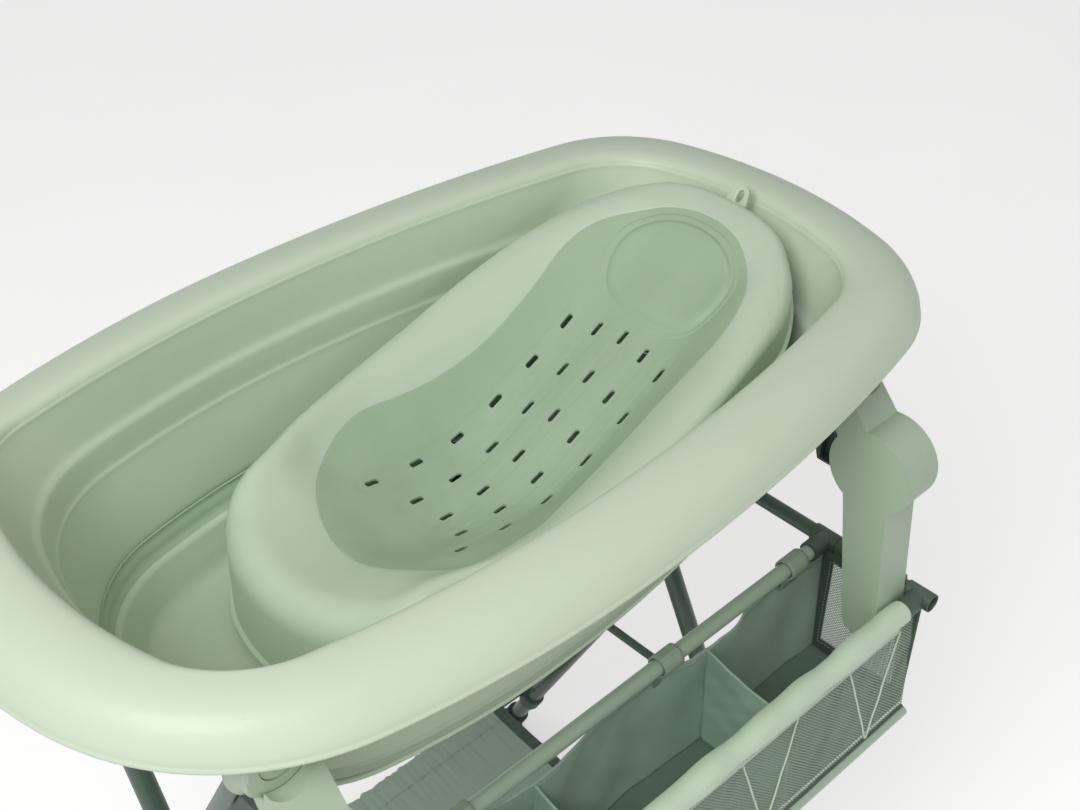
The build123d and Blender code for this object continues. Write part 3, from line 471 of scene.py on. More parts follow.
FRONT_NET = Finish(
    "basket_front_net", "basket_mesh", (160, 180, 160), (148, 168, 149), 0.7, 14.0, 0.6, 0.0, 0.3, Weave.NET, Face.XZ,
    260.0,
)
END_NET = replace(FRONT_NET, name="basket_end_net", colour=(186, 201, 186), shade=(176, 191, 176), face=Face.YZ)
WEBBING = Finish(
    "grosgrain_webbing", "webbing", (166, 185, 164), (154, 174, 153), 0.6, 30.0, 0.6, 0.0, 0.2, Weave.WEBBING, Face.XZ,
    700.0, sheen=0.1,
)
BINDING = Finish(
    "dark_binding", "webbing", (72, 94, 80), (62, 83, 70), 0.8, 30.0, 0.6, 0.0, 0.4, Weave.WEBBING, Face.YZ, 700.0,
    sheen=0.1,
)
THREAD = Finish("sewing_thread", "webbing", (152, 168, 150), (140, 157, 139), 0.75, 200.0, 0.5, 4000.0, 0.1)


class Shop:
    """Makes meshes into dressed pieces that ride on a body."""

    def __init__(self) -> None:
        """Builds the shared effects and finds each CAD node's body."""
        self.effects = Effects()
        self.materials: dict[str, bpy.types.Material] = {}
        groups = frame["record"]["behaviour"]["bodies"]
        self.body_of = {node: body for body, nodes in groups.items() for node in nodes}

    def material(self, finish: Finish) -> bpy.types.Material:
        """The finish's material, built the first time it is asked for."""
        if finish.name not in self.materials:
            self.materials[finish.name] = finish.build(self.effects)
        return self.materials[finish.name]

    def dress(self, finish: Finish, *nodes: str) -> None:
        """Gives CAD nodes a finish.

        Args:
            finish: the finish.
            nodes: the nodes' names.
        """
        for node in nodes:
            slots = frame["nodes"][node].data.materials
            slots.clear()
            slots.append(self.material(finish))
            log.info("%s dressed in %s", node, finish.name)

    def mesh(
        self, name: str, finish: Finish, points: np.ndarray, faces: list, sharp: float = 45.0, closed: bool = True
    ) -> bpy.types.Object:
        """Makes a smooth-shaded mesh object.

        Args:
            name: the piece's name.
            finish: its finish.
            points: its corners in the stand's frame, in millimetres.
            faces: its faces as tuples of corner numbers.
            sharp: the angle in degrees above which an edge is sharp.
            closed: whether the faces close a volume.

        Returns:
            The object, linked to the scene.
        """
        data = bpy.data.meshes.new(name)
        data.from_pydata(to_row(points).tolist(), [], faces)
        if closed:
            shape = bmesh.new()
            shape.from_mesh(data)
            bmesh.ops.recalc_face_normals(shape, faces=shape.faces)
            shape.to_mesh(data)
            shape.free()
        data.shade_smooth()
        data.set_sharp_from_angle(angle=math.radians(sharp))
        data.materials.append(self.material(finish))
        piece = bpy.data.objects.new(name, data)
        bpy.context.scene.collection.objects.link(piece)
        return piece

    def rings(
        self, name: str, finish: Finish, rings: list, close_profile: bool = False, close_ring: bool = True,
        sharp: float = 45.0,
    ) -> bpy.types.Object:
        """Makes a mesh from rows of points of equal number.

        Args:
            name: the piece's name.
            finish: its finish.
            rings: the rows, each an array of points.
            close_profile: whether the last row joins the first.
            close_ring: whether each row's last point joins its first.
            sharp: the angle in degrees above which an edge is sharp.

        Returns:
            The object.
        """
        table = np.array(rings, float)
        rows, count = table.shape[:2]
        faces = []
        for row in range(rows if close_profile else rows - 1):
            after = (row + 1) % rows
            for place in range(count if close_ring else count - 1):
                beside = (place + 1) % count
                corners = ((row, place), (row, beside), (after, beside), (after, place))
                faces.append(tuple(line * count + corner for line, corner in corners))
        return self.mesh(name, finish, table.reshape(-1, 3), faces, sharp, closed=close_profile and close_ring)

    def thicken(self, piece: bpy.types.Object, thickness: float) -> bpy.types.Object:
        """Gives a sheet its thickness, half of it on each side.

        Args:
            piece: the sheet.
            thickness: in millimetres.

        Returns:
            The piece.
        """
        solid = piece.modifiers.new("thickness", "SOLIDIFY")
        solid.thickness = thickness * MM
        solid.offset = 0.0
        return piece

    def tube(self, name: str, finish: Finish, path: np.ndarray, radius: float, sides: int = 10) -> bpy.types.Object:
        """Makes a round cord or tube along an open path.

        Args:
            name: the piece's name.
            finish: its finish.
            path: the centre points.
            radius: its radius.
            sides: corners round it.

        Returns:
            The object.
        """
        path = np.asarray(path, float)
        heading = np.gradient(path, axis=0)
        heading /= np.linalg.norm(heading, axis=1)[:, None]
        upright = np.tile((0.0, 0.0, 1.0), (len(path), 1))
        steep = np.abs(heading[:, 2]) > 0.9
        upright[steep] = (0.0, 1.0, 0.0)
        side = np.cross(heading, upright)
        side /= np.linalg.norm(side, axis=1)[:, None]
        up = np.cross(side, heading)
        rows = [path + radius * (math.cos(turn) * side + math.sin(turn) * up) for turn in circle(sides)]
        table = np.array(rows).transpose(1, 0, 2)
        count = len(table)
        points = np.concatenate([table.reshape(-1, 3), path[:1], path[-1:]])
        faces = []
        for low in range(0, (count - 1) * sides, sides):
            for place in range(sides):
                beside = (place + 1) % sides
                faces.append((low + place, low + beside, low + sides + beside, low + sides + place))
        last = (count - 1) * sides
        for place in range(sides):
            beside = (place + 1) % sides
            faces.append((place, len(points) - 2, beside))
            faces.append((last + place, last + beside, len(points) - 1))
        return self.mesh(name, finish, points, faces)

    def stitches(
        self, name: str, path: np.ndarray, lift: np.ndarray, pitch: float = 4.5, length: float = 3.0,
        radius: float = 0.45,
    ) -> bpy.types.Object:
        """Makes a row of raised stitches along a path, as one piece.

        Args:
            name: the piece's name.
            path: points along the seam.
            lift: the direction away from the cloth, one vector for all.
            pitch: from one stitch to the next.
            length: of one stitch.
            radius: of the thread.

        Returns:
            The object.
        """
        path = np.asarray(path, float)
        steps = travelled(path)
        sides = 6
        lift = np.asarray(lift, float) / np.linalg.norm(lift)
        points, faces = [], []
        for start in np.arange(pitch / 2, steps[-1] - length, pitch):
            ends = [np.array([np.interp(at, steps, path[:, k]) for k in range(3)]) for at in (start, start + length)]
            along = (ends[1] - ends[0]) / np.linalg.norm(ends[1] - ends[0])
            side = np.cross(along, lift)
            base = len(points)
            for share, size in ((0.0, 0.25), (0.2, 1.0), (0.8, 1.0), (1.0, 0.25)):
                middle = ends[0] + share * (ends[1] - ends[0])
                for angle in circle(sides):
                    points.append(middle + size * radius * (math.cos(angle) * side + math.sin(angle) * lift))
            for low in range(base, base + 3 * sides, sides):
                for turn in range(sides):
                    beside = (turn + 1) % sides
                    faces.append((low + turn, low + beside, low + sides + beside, low + sides + turn))
            faces.append(tuple(base + sides - 1 - k for k in range(sides)))
            faces.append(tuple(base + 3 * sides + k for k in range(sides)))
        return self.mesh(name, THREAD, np.array(points), faces)

    def finish_piece(self, piece: bpy.types.Object, finish: Finish, body: str, *nodes: str) -> bpy.types.Object:
        """Makes a piece ride on its body, hides the CAD nodes it replaces and logs it.

        Args:
            piece: the object.
            finish: its finish, which carries the record's slot name; only its name is logged here.
            body: the body it rides on, or an empty name, which leaves it on no body.
            nodes: the CAD nodes it replaces.

        Returns:
            The piece.
        """
        if body:
            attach(piece, body)
        if nodes:
            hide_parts(*nodes)
        log.info("%s: %d corners, %s, on %s", piece.name, len(piece.data.vertices), finish.name, body or "two bodies")
        return piece


def smooth(edge_low: float, edge_high: float, values: np.ndarray) -> np.ndarray:
    """A soft step from 0 to 1 between two values."""
    share = np.clip((np.asarray(values, float) - edge_low) / (edge_high - edge_low), 0, 1)
    return share * share * (3 - 2 * share)


def wrinkles(
    first: np.ndarray, second: np.ndarray, seed: int, length: float, count: int = 9, slant: float = 0.35
) -> np.ndarray:
    """A field of soft folds from -1 to 1, mostly across the first direction.

    Args:
        first: distance along the cloth in millimetres.
        second: distance across it.
        seed: chooses the folds.
        length: the usual distance from fold to fold.
        count: how many waves are added.
        slant: how far folds lean.

    Returns:
        The height of the folds, one for each point.
    """
    random = np.random.default_rng(seed)
    total = np.zeros_like(np.asarray(first, float) + np.asarray(second, float))
    for _ in range(count):
        size = length * random.uniform(0.55, 1.9)
        lean = random.normal(0, slant)
        phase = random.uniform(0, FULL_TURN)
        drift = random.uniform(0, FULL_TURN)
        bend = 0.9 * np.sin(second / (length * 2.3) + drift)
        total += np.sin(FULL_TURN * (first + lean * second) / size + phase + bend) * random.uniform(0.4, 1.0)
    return total / (0.45 * count)


def hermite(
    share: np.ndarray, width: np.ndarray, values: tuple[np.ndarray, np.ndarray], leans: tuple[np.ndarray, np.ndarray]
) -> np.ndarray:
    """A cubic between two values with a given slope at each.

    Args:
        share: from 0 at the first value to 1 at the second.
        width: the distance between them.
        values: the two values.
        leans: the two slopes.

    Returns:
        The cubic's values.
    """
    cubic, square = share**3, share**2
    return (
        (2 * cubic - 3 * square + 1) * values[0]
        + (cubic - 2 * square + share) * width * leans[0]
        + (3 * square - 2 * cubic) * values[1]
        + (cubic - square) * width * leans[1]
    )


def steady(knots_x: np.ndarray, knots_y: np.ndarray, at: np.ndarray) -> np.ndarray:
    """A smooth curve through knots that doesn't overshoot them.

    Args:
        knots_x: rising places.
        knots_y: values there.
        at: where to read the curve.

    Returns:
        The values.
    """
    x, y = np.asarray(knots_x, float), np.asarray(knots_y, float)
    step, rise = np.diff(x), np.diff(y)
    slope = rise / step
    lean = np.zeros_like(y)
    lean[0], lean[-1] = slope[0], slope[-1]
    same = slope[:-1] * slope[1:] > 0
    first, second = 2 * step[1:] + step[:-1], step[1:] + 2 * step[:-1]
    with np.errstate(divide="ignore", invalid="ignore"):
        harmonic = (first + second) / (first / slope[:-1] + second / slope[1:])
    lean[1:-1] = np.where(same, harmonic, 0.0)
    place = np.clip(np.searchsorted(x, at) - 1, 0, len(x) - 2)
    share = np.clip((at - x[place]) / step[place], 0, 1)
    return hermite(share, step[place], (y[place], y[place + 1]), (lean[place], lean[place + 1]))


@dataclass(frozen=True)
class Oval:
    """A flat oval of tangent arcs: side, shoulder and end in each quarter."""

    head_x: float
    foot_x: float
    half_width: float
    shoulder: float
    middle_x: float = -50.0
    side_turn: float = 12.0
    shoulder_turn: float = 60.0
    steps: tuple[int, int, int] = (14, 22, 14)
    foot_shoulder: float | None = None

    def quarter(self, length: float, shoulder: float) -> np.ndarray:
        """Points of one quarter, from the side to just before the tip.

        Args:
            length: from the widest place to the tip.
            shoulder: radius of the corner arc.

        Returns:
            The points' x and y from the widest place.
        """
        first, second = math.radians(self.side_turn), math.radians(self.side_turn + self.shoulder_turn)
        sa, ca, sb, cb = math.sin(first), math.cos(first), math.sin(second), math.cos(second)
        along, across = length - shoulder * (sb - sa), self.half_width - shoulder * (ca - cb)
        scale = sa * cb - (1 - sb) * (1 - ca)
        side = (along * cb - across * (1 - sb)) / scale
        end = (sa * across - (1 - ca) * along) / scale
        corner = ((side - shoulder) * sa, self.half_width - side + (side - shoulder) * ca)
        arcs = (((0.0, self.half_width - side), side, 0.0, first), (corner, shoulder, first, second),
                ((length - end, 0.0), end, second, math.pi / 2))
        points = []
        for (centre, radius, low, high), steps in zip(arcs, self.steps):
            for turn in np.linspace(low, high, steps, endpoint=False):
                points.append((centre[0] + radius * math.sin(turn), centre[1] + radius * math.cos(turn)))
        return np.array(points)

    def ring(self, z: float) -> np.ndarray:
        """The closed outline at a height."""
        foot_shoulder = self.shoulder if self.foot_shoulder is None else self.foot_shoulder
        head = self.quarter(self.head_x - self.middle_x, self.shoulder)
        foot = self.quarter(self.middle_x - self.foot_x, foot_shoulder)
        tip_head, tip_foot = [(self.head_x, 0.0)], [(self.foot_x, 0.0)]
        flip = np.array((1.0, -1.0))
        centre = np.array((self.middle_x, 0.0))
        parts = [
            centre + head, np.array(tip_head), centre + (head * flip)[:0:-1],
            centre - foot, np.array(tip_foot), centre + (foot * -flip)[:0:-1],
        ]
        return level(*np.concatenate(parts).T, z)


def morph(first: np.ndarray, second: np.ndarray, share: float, z: float) -> np.ndarray:
    """A ring between two others, at a height."""
    between = first * (1 - share) + second * share
    between[:, 2] = z
    return between


@dataclass
class Tub:
    """The bathtub: moulded ring, recessed soft band and floor pan, with its drain."""

    edge_half_width: float = 270.0
    edge_head_x: float = 478.0
    edge_foot_x: float = -452.0
    edge_shoulder: float = 150.0
    edge_foot_shoulder: float = 214.0
    wall_half_width: float = 206.0
    wall_head_x: float = 410.0
    wall_foot_x: float = -384.0
    wall_shoulder: float = 96.0
    wall_foot_shoulder: float = 84.0
    wall_depth: float = 178.0
    wall_side_taper: float = 22.0
    wall_head_taper: float = 85.0
    wall_foot_taper: float = 59.0
    wall_shoulder_gain: float = 40.0
    band_height: float = 22.0
    band_thickness: float = 2.5
    band_bulge: float = 2.2
    band_taper: float = 7.6
    pan_shoulder: float = 128.0
    pan_inside: float = 36.9
    pan_outside: float = 40.0
    drain_x: float = -120.0
    drain_radius: float = 19.2
    seat_x: float = 330.0
    seat_y: float = 185.5
    seat_z: float = 920.4

    def edge(self, inset: float, drop: float) -> np.ndarray:
        """The rim's outline, moved inwards and down."""
        outline = Oval(
            self.edge_head_x - inset, self.edge_foot_x + inset, self.edge_half_width - inset,
            self.edge_shoulder - inset, foot_shoulder=self.edge_foot_shoulder - inset,
        )
        return outline.ring(CREST - drop)

    def wall(self, inset: float, drop: float) -> np.ndarray:
        """The wall's outline at a drop below the crest, moved inwards.

        Args:
            inset: from the wall's outer surface.
            drop: below the crest.

        Returns:
            The ring.
        """
        depths = np.array((0.0, 0.11, 0.365, 0.545, 1.0)) * self.wall_depth
        side = np.interp(drop, depths, (0, 0.09, 0.14, 0.2, 1)) * self.wall_side_taper
        head = np.interp(drop, depths, (0, 0.1, 0.36, 0.52, 1)) * self.wall_head_taper
        foot = np.interp(drop, depths, (0, 0.14, 0.48, 0.66, 1)) * self.wall_foot_taper
        gain = np.interp(drop, depths, (0, 0.12, 0.85, 0.9, 1)) * self.wall_shoulder_gain
        foot_gain = gain * (1 + (self.wall_shoulder - self.wall_foot_shoulder) / self.wall_shoulder_gain)
        outline = Oval(
            self.wall_head_x - head - inset, self.wall_foot_x + foot + inset, self.wall_half_width - side - inset,
            self.wall_shoulder + gain - inset, foot_shoulder=self.wall_foot_shoulder + foot_gain - inset,
        )
        return outline.ring(CREST - drop)

    def lip(self, inset: float, drop: float, shoulder: float) -> np.ndarray:
        """An outline below the ring's lower lip, given by how far it lies inside the lip."""
        outline = Oval(
            self.wall_head_x - self.wall_head_taper - inset, self.wall_foot_x + self.wall_foot_taper + inset,
            self.wall_half_width - self.wall_side_taper - inset, shoulder,
        )
        return outline.ring(CREST - drop)

    def ring_profile(self) -> list:
        """The moulded ring's section, from the skirt over the rim and down the wall, and back up outside."""
        skirt = (
            (3.0, 42.0), (1.4, 42.5), (0.2, 41.7), (-0.2, 40.0), (0.1, 38.4), (0.9, 37.3), (1.1, 36.2), (1.0, 35.0),
            (2.2, 30.4), (3.9, 26.6), (6.2, 22.2), (9.0, 18.0), (12.4, 14.0), (16.6, 10.4), (21.4, 7.3), (27.0, 4.8),
            (33.0, 2.9), (39.0, 1.5), (45.0, 0.5), (50.0, 0.0),
        )
        rows = [self.edge(inset, drop) for inset, drop in skirt]
        start, end = self.edge(50.0, 0.0), self.wall(3.0, 9.6)
        lip = ((0.3, 0.0), (0.5, 0.3), (0.66, 1.1), (0.8, 2.5), (0.9, 4.3), (0.96, 6.2), (0.985, 7.8), (1.0, 8.6))
        rows += [morph(start, end, share, CREST - drop) for share, drop in lip]
        wall = (
            (3.6, 9.4), (3.9, 10.4), (3.4, 12.0), (3.0, 16.0), (2.9, 24.0), (2.6, 36.0), (2.4, 48.0), (2.3, 57.0),
            (2.5, 60.5), (3.4, 63.2), (4.7, 65.6), (5.4, 68.0), (5.3, 71.0), (4.9, 78.0), (4.4, 86.0), (3.9, 92.0),
            (3.8, 95.6), (4.3, 97.2), (4.7, 98.6), (4.1, 101.0), (3.6, 106.0), (3.2, 118.0), (3.0, 134.0),
            (3.0, 150.0), (3.0, 164.0), (2.8, 171.0), (2.4, 175.0), (1.4, 177.4), (0.2, 178.0), (-0.3, 177.0),
            (0.0, 174.0), (0.0, 150.0), (0.0, 97.0), (0.0, 65.0), (0.0, 40.0), (0.0, 19.6), (0.0, 8.0),
        )
        rows += [self.wall(inset, drop) for inset, drop in wall]
        under = ((42.0, 4.8), (28.0, 8.0), (18.0, 13.6), (10.5, 22.0), (6.4, 31.0), (3.8, 39.0))
        rows += [self.edge(inset, drop) for inset, drop in under]
        return rows

    def build_ring(self, shop: Shop) -> None:
        """The moulded ring and the four seats under its rim."""
        piece = shop.rings("tub_moulded_ring", TUB_SHELL, self.ring_profile(), close_profile=True, sharp=50)
        shop.finish_piece(piece, TUB_SHELL, "tub", "tub_ring")
        for end in (-1, 1):
            for side in (-1, 1):
                name = f"tub_seat_{'head' if end > 0 else 'foot'}_{'far' if side > 0 else 'near'}"
                self.build_seat(shop, name, end * self.seat_x, side)

    def build_seat(self, shop: Shop, name: str, x: float, side: int) -> None:
        """A tapered, round-cornered pad under the rim that rests on a hub.

        Args:
            shop: makes the mesh.
            name: the piece's name.
            x: its middle.
            side: -1 at the basket and 1 away from it.
        """
        turns = circle(32)
        c, s = np.cos(turns), np.sin(turns)
        reach = (np.abs(c) ** 6 + np.abs(s) ** 6) ** (-1 / 6)
        y = side * self.seat_y
        base = self.seat_z
        sizes = ((17.0, 5.5, base), (19.5, 7.6, base), (20.4, 8.6, base + 1.0), (21.0, 9.3, 930.0), (21.6, 9.5, 941.0))
        rows = [level(x + half_x * reach * c, y + half_y * reach * s, z) for half_x, half_y, z in sizes]
        rows.insert(0, morph(rows[0], rows[0] * 0 + (x, y, 0), 0.9, base))
        piece = shop.rings(name, TUB_SHELL, rows)
        shop.finish_piece(piece, TUB_SHELL, "tub")

    def build_band(self, shop: Shop) -> None:
        """The soft band, folded outwards like a bellows with two ribs."""
        shoulder = self.wall_shoulder + self.wall_shoulder_gain
        drops = np.linspace(0, self.band_height, 19)
        part = drops / self.band_height
        ribs = self.band_bulge * np.sin(math.pi * part) + 0.7 * np.sin(3 * math.pi * part)
        outer = list(zip(0.4 + self.band_taper * part - ribs, self.wall_depth + 0.3 + drops * 0.98))
        inner = [(inset + self.band_thickness, drop) for inset, drop in outer[::-1]]
        rows = [self.lip(inset, drop, shoulder - inset) for inset, drop in outer + inner]
        piece = shop.rings("tub_soft_band", TUB_BAND, rows, close_profile=True, sharp=60)
        shop.finish_piece(piece, TUB_BAND, "tub", "tub_band")

    def build_pan(self, shop: Shop) -> None:
        """The floor pan: rounded flange, curved walls and a floor that falls to the drain."""
        top = self.wall_depth + self.band_height
        inner = (
            (6.3, 0.4), (7.5, 0.1), (9.5, 0.0), (12.0, 0.1), (14.6, 0.9), (16.4, 2.4), (17.3, 4.6), (18.6, 8.0),
            (21.5, 14.0), (24.4, 20.0), (26.6, 25.0), (28.4, 29.0), (30.6, 32.2), (33.6, 34.8), (37.6, 36.4),
            (43.0, self.pan_inside),
        )
        rows = [self.lip(inset, top + drop, self.pan_shoulder - inset / 2) for inset, drop in inner]
        floor = rows[-1]
        centre = np.array((self.drain_x, 0.0, 0.0))
        away = floor - centre
        away[:, 2] = 0
        away /= np.linalg.norm(away, axis=1)[:, None]
        hole = centre + away * self.drain_radius
        shares = (0.12, 0.3, 0.5, 0.7, 0.86, 0.95, 1.0)
        rows += [morph(floor, hole, share, CREST - top - self.pan_inside) for share in shares]
        rows += [morph(floor, hole, share, CREST - top - self.pan_outside) for share in shares[::-1]]
        outer = (
            (42.0, self.pan_outside), (36.0, 39.6), (31.4, 37.6), (28.0, 34.6), (25.6, 30.6), (23.4, 25.6),
            (19.4, 15.6), (15.8, 8.4), (14.2, 5.2), (12.5, 5.0), (9.0, 5.0), (6.9, 4.9), (5.9, 4.2), (5.6, 2.6),
            (5.8, 1.0),
        )
        rows += [self.lip(inset, top + drop, self.pan_shoulder - inset / 2) for inset, drop in outer]
        piece = shop.rings("tub_floor_pan", TUB_SHELL, rows, close_profile=True, sharp=55)
        shop.finish_piece(piece, TUB_SHELL, "tub", "tub_base")

    def build(self, shop: Shop) -> None:
        """Builds and dresses the whole tub."""
        self.build_ring(shop)
        self.build_band(shop)
        self.build_pan(shop)
        shop.dress(PALE_MOULDING, "drain_seat")
        shop.dress(RUBBER, "drain_plug")


@dataclass
class BathSupport:
    """The moulded bath support: pale raised body, darker dished inlay with slots, headrest, tab and feet."""

    middle_y: float = 2.0
    head_x: float = 374.0
    foot_x: float = -202.0
    half_width: float = 157.0
    widest_x: float = 90.0
    shoulder: float = 118.0
    depth: float = 174.0
    seat_half: float = 59.0
    roll_width: float = 22.0
    roll_drop: float = 17.0
    skin: float = 3.0
    shell_skin: float = 3.4
    centre_x: float = 112.0
    inlay_head: tuple[float, float] = (239.0, 101.0)
    inlay_foot: tuple[float, float] = (-4.0, 112.0)
    inlay_waist: float = 95.0
    headrest_x: float = 285.0
    headrest_head: float = 40.0
    headrest_foot: float = 39.0
    headrest_half_width: float = 65.0
    tab_tilt: float = 50.0
    tab_x: float = 390.0
    tab_slot_x: float = 388.5
    tab_root: tuple[float, float] = (372.0, 941.5)
    slot_rows: int = 6
    slot_columns: int = 5
    slot_head_x: float = 224.0
    slot_pitch: tuple[float, float] = (45.2, 30.0)
    slot_bow: float = 15.0
    slot_straight: float = 5.0
    slot_radius: float = 2.5
    foot_places: tuple[float, float] = (-140.0, 70.0)
    foot_y: float = 66.0
    foot_z: float = 713.4

    def __post_init__(self) -> None:
        """Works out the table of stations."""
        stations = (-0.014, 0.149, 0.247, 0.359, 0.438, 0.507, 0.576, 0.663, 0.741, 0.845, 0.924, 0.962, 1.01)
        self.places = self.foot_x + np.array(stations) * (self.head_x - self.foot_x)
        shares = (
            (0.724, 0.845, 0.954, 1, 0.966, 0.879, 0.759, 0.621, 0.489, 0.282, 0.04, -0.02, -0.05),
            (0.718, 0.764, 0.839, 0.902, 0.911, 0.856, 0.753, 0.615, 0.466, 0.25, 0.026, -0.022, -0.045),
            (0.713, 0.678, 0.701, 0.672, 0.667, 0.632, 0.569, 0.425, 0.287, 0.121, 0.022, -0.017, -0.04),
            (0.701, 0.615, 0.592, 0.569, 0.529, 0.483, 0.414, 0.322, 0.241, 0.138, 0.052, 0.006, -0.03),
        )
        self.drops = np.array(shares) * self.depth
        widths = (
            (0.573, 0.573, 0.669, 0.707, 0.656, 0.624, 0.605, 0.624, 0.65, 0.586, 0.497, 0.42, 0.41),
            (0.752, 0.713, 0.803, 0.892, 0.936, 0.962, 0.975, 0.962, 0.917, 0.809, 0.65, 0.522, 0.484),
        )
        self.widths = np.array(widths) * self.half_width

    def height(self, x: np.ndarray, y: np.ndarray) -> np.ndarray:
        """The surface's height, by a smooth curve along the support and then across it.

        Args:
            x: places along, in the stand's frame.
            y: places across.

        Returns:
            The heights.
        """
        x, across = np.asarray(x, float), np.abs(np.asarray(y, float) - self.middle_y)
        drops = [steady(self.places, row, x) for row in self.drops]
        edge, crest = (steady(self.places, row, x) for row in self.widths)
        knots_y = np.stack([0 * x, 0 * x + self.seat_half, edge, crest, crest + self.roll_width])
        knots_z = -np.stack([*drops, drops[3] + self.roll_drop])
        step, rise = np.diff(knots_y, axis=0), np.diff(knots_z, axis=0)
        count = len(knots_y)
        system = np.zeros((len(x), count, count))
        known = np.zeros((len(x), count, 1))
        system[:, 0, 0] = 1
        for k in range(1, count - 1):
            system[:, k, k - 1], system[:, k, k + 1] = step[k], step[k - 1]
            system[:, k, k] = 2 * (step[k - 1] + step[k])
            known[:, k, 0] = 3 * (rise[k - 1] / step[k - 1] * step[k] + rise[k] / step[k] * step[k - 1])
        system[:, -1, -2], system[:, -1, -1] = 1, 2
        known[:, -1, 0] = 3 * rise[-1] / step[-1]
        lean = np.linalg.solve(system, known)[:, :, 0].T
        place = np.clip(np.sum(across[None, :] > knots_y[1:-1], axis=0), 0, count - 2)
        pick = np.arange(len(x))
        width = step[place, pick]
        share = np.clip((across - knots_y[place, pick]) / width, 0, 1.3)
        levels, leans = ((table[place, pick], table[place + 1, pick]) for table in (knots_z, lean))
        return CREST + hermite(share, width, levels, leans)

    def skirt_low(self, x: np.ndarray) -> np.ndarray:
        """Height of the skirt's lower edge."""
        along = (-0.049, 0.108, 0.351, 0.524, 0.698, 0.797, 0.872, 0.941, 1.019)
        drop = (1.316, 1.259, 0.948, 0.764, 0.575, 0.454, 0.379, 0.259, 0.098)
        places = self.foot_x + np.array(along) * (self.head_x - self.foot_x)
        return CREST - steady(places, np.array(drop) * self.depth, np.clip(x, places[0], places[-1]))

    def inlay_outline(self, inset: float) -> np.ndarray:
        """The waisted outline, as many points of x and y.

        Args:
            inset: how far it is moved inwards.

        Returns:
            The closed outline, from the head's tip round by the positive side.
        """
        (head_x, head_radius), (foot_x, foot_radius) = self.inlay_head, self.inlay_foot
        head_radius, foot_radius, waist = head_radius - inset, foot_radius - inset, self.inlay_waist - inset
        span, gain = head_x - foot_x, foot_radius - head_radius
        slope = gain / span
        base = (span * span + foot_radius**2 - head_radius**2) / (2 * span)
        second = 2 * base * slope - 2 * (foot_radius - waist)
        third = base * base - (foot_radius**2 - waist**2)
        flank = (-second - math.sqrt(second * second - 4 * slope * slope * third)) / (2 * slope * slope)
        centre = np.array((foot_x + base + slope * flank, waist + flank))
        head_turn = math.atan2(centre[1], centre[0] - head_x)
        foot_turn = math.atan2(centre[1], centre[0] - foot_x)
        lows = [math.atan2(-math.sin(t), -math.cos(t)) for t in (head_turn, foot_turn)]
        half = arc((head_x, 0.0), head_radius, np.linspace(0, head_turn, 60))
        half += arc(tuple(centre), flank, np.linspace(*lows, 60)[1:])
        half += arc((foot_x, 0.0), foot_radius, np.linspace(foot_turn, math.pi, 60)[1:])
        half = np.array(half)
        return np.concatenate([half, (half * (1, -1))[-2:0:-1]]) + (0, self.middle_y)

    def ray_ring(self, outline: np.ndarray, turns: np.ndarray) -> np.ndarray:
        """Distances from the inlay's middle to an outline, in given directions."""
        away = outline - (self.centre_x, self.middle_y)
        headings = np.mod(np.arctan2(away[:, 1], away[:, 0]), FULL_TURN)
        order = np.argsort(headings)
        radii = np.linalg.norm(away, axis=1)
        return np.interp(np.mod(turns, FULL_TURN), headings[order], radii[order], period=FULL_TURN)

    def outer_outline(self, inset: float) -> np.ndarray:
        """The plan outline of the whole support, moved inwards."""
        shape = Oval(
            self.head_x - inset, self.foot_x + inset, self.half_width - inset, self.shoulder - inset, self.widest_x,
            steps=(20, 30, 16),
        )
        return shape.ring(0.0)[:, :2] + (0, self.middle_y)

    def build_body(self, shop: Shop) -> None:
        """The pale body: a raised rim round the inlay, a rolled edge, a skirt and a flange."""
        outer = self.outer_outline(0.0)
        away = outer - (self.centre_x, self.middle_y)
        turns = np.arctan2(away[:, 1], away[:, 0])
        reach = np.linalg.norm(away, axis=1)
        inlay = self.ray_ring(self.inlay_outline(-0.05), turns)
        heading = away / reach[:, None]
        low = self.skirt_low(outer[:, 0])

        def plan(radii: np.ndarray) -> np.ndarray:
            """Points at distances from the middle."""
            return np.array((self.centre_x, self.middle_y)) + heading * radii[:, None]

        def on_top(radii: np.ndarray, lift: float) -> np.ndarray:
            """Points on the surface at distances from the middle, lifted."""
            flat = plan(radii)
            return np.column_stack([flat, self.height(flat[:, 0], flat[:, 1]) + lift])

        roll = 7.0 + 27.0 * smooth(20.0, -150.0, outer[:, 0]) + 5.0 * smooth(250.0, 350.0, outer[:, 0])

        def rounded(turn: float) -> np.ndarray:
            """Points on the rolled edge, from 0 at its top to a quarter turn at the skirt."""
            inset = roll * (1 - math.sin(turn))
            return on_top(reach - inset, 0.0) - np.column_stack([0 * roll, 0 * roll, roll * (1 - math.cos(turn))])

        edge_z = np.maximum(rounded(math.pi / 2)[:, 2], low + 4.0)

        def skirt(inset: float, share: float, lift: float) -> np.ndarray:
            """Points on the skirt, a share of the way down."""
            return np.column_stack([plan(reach - inset), edge_z + share * (low - edge_z) + lift])

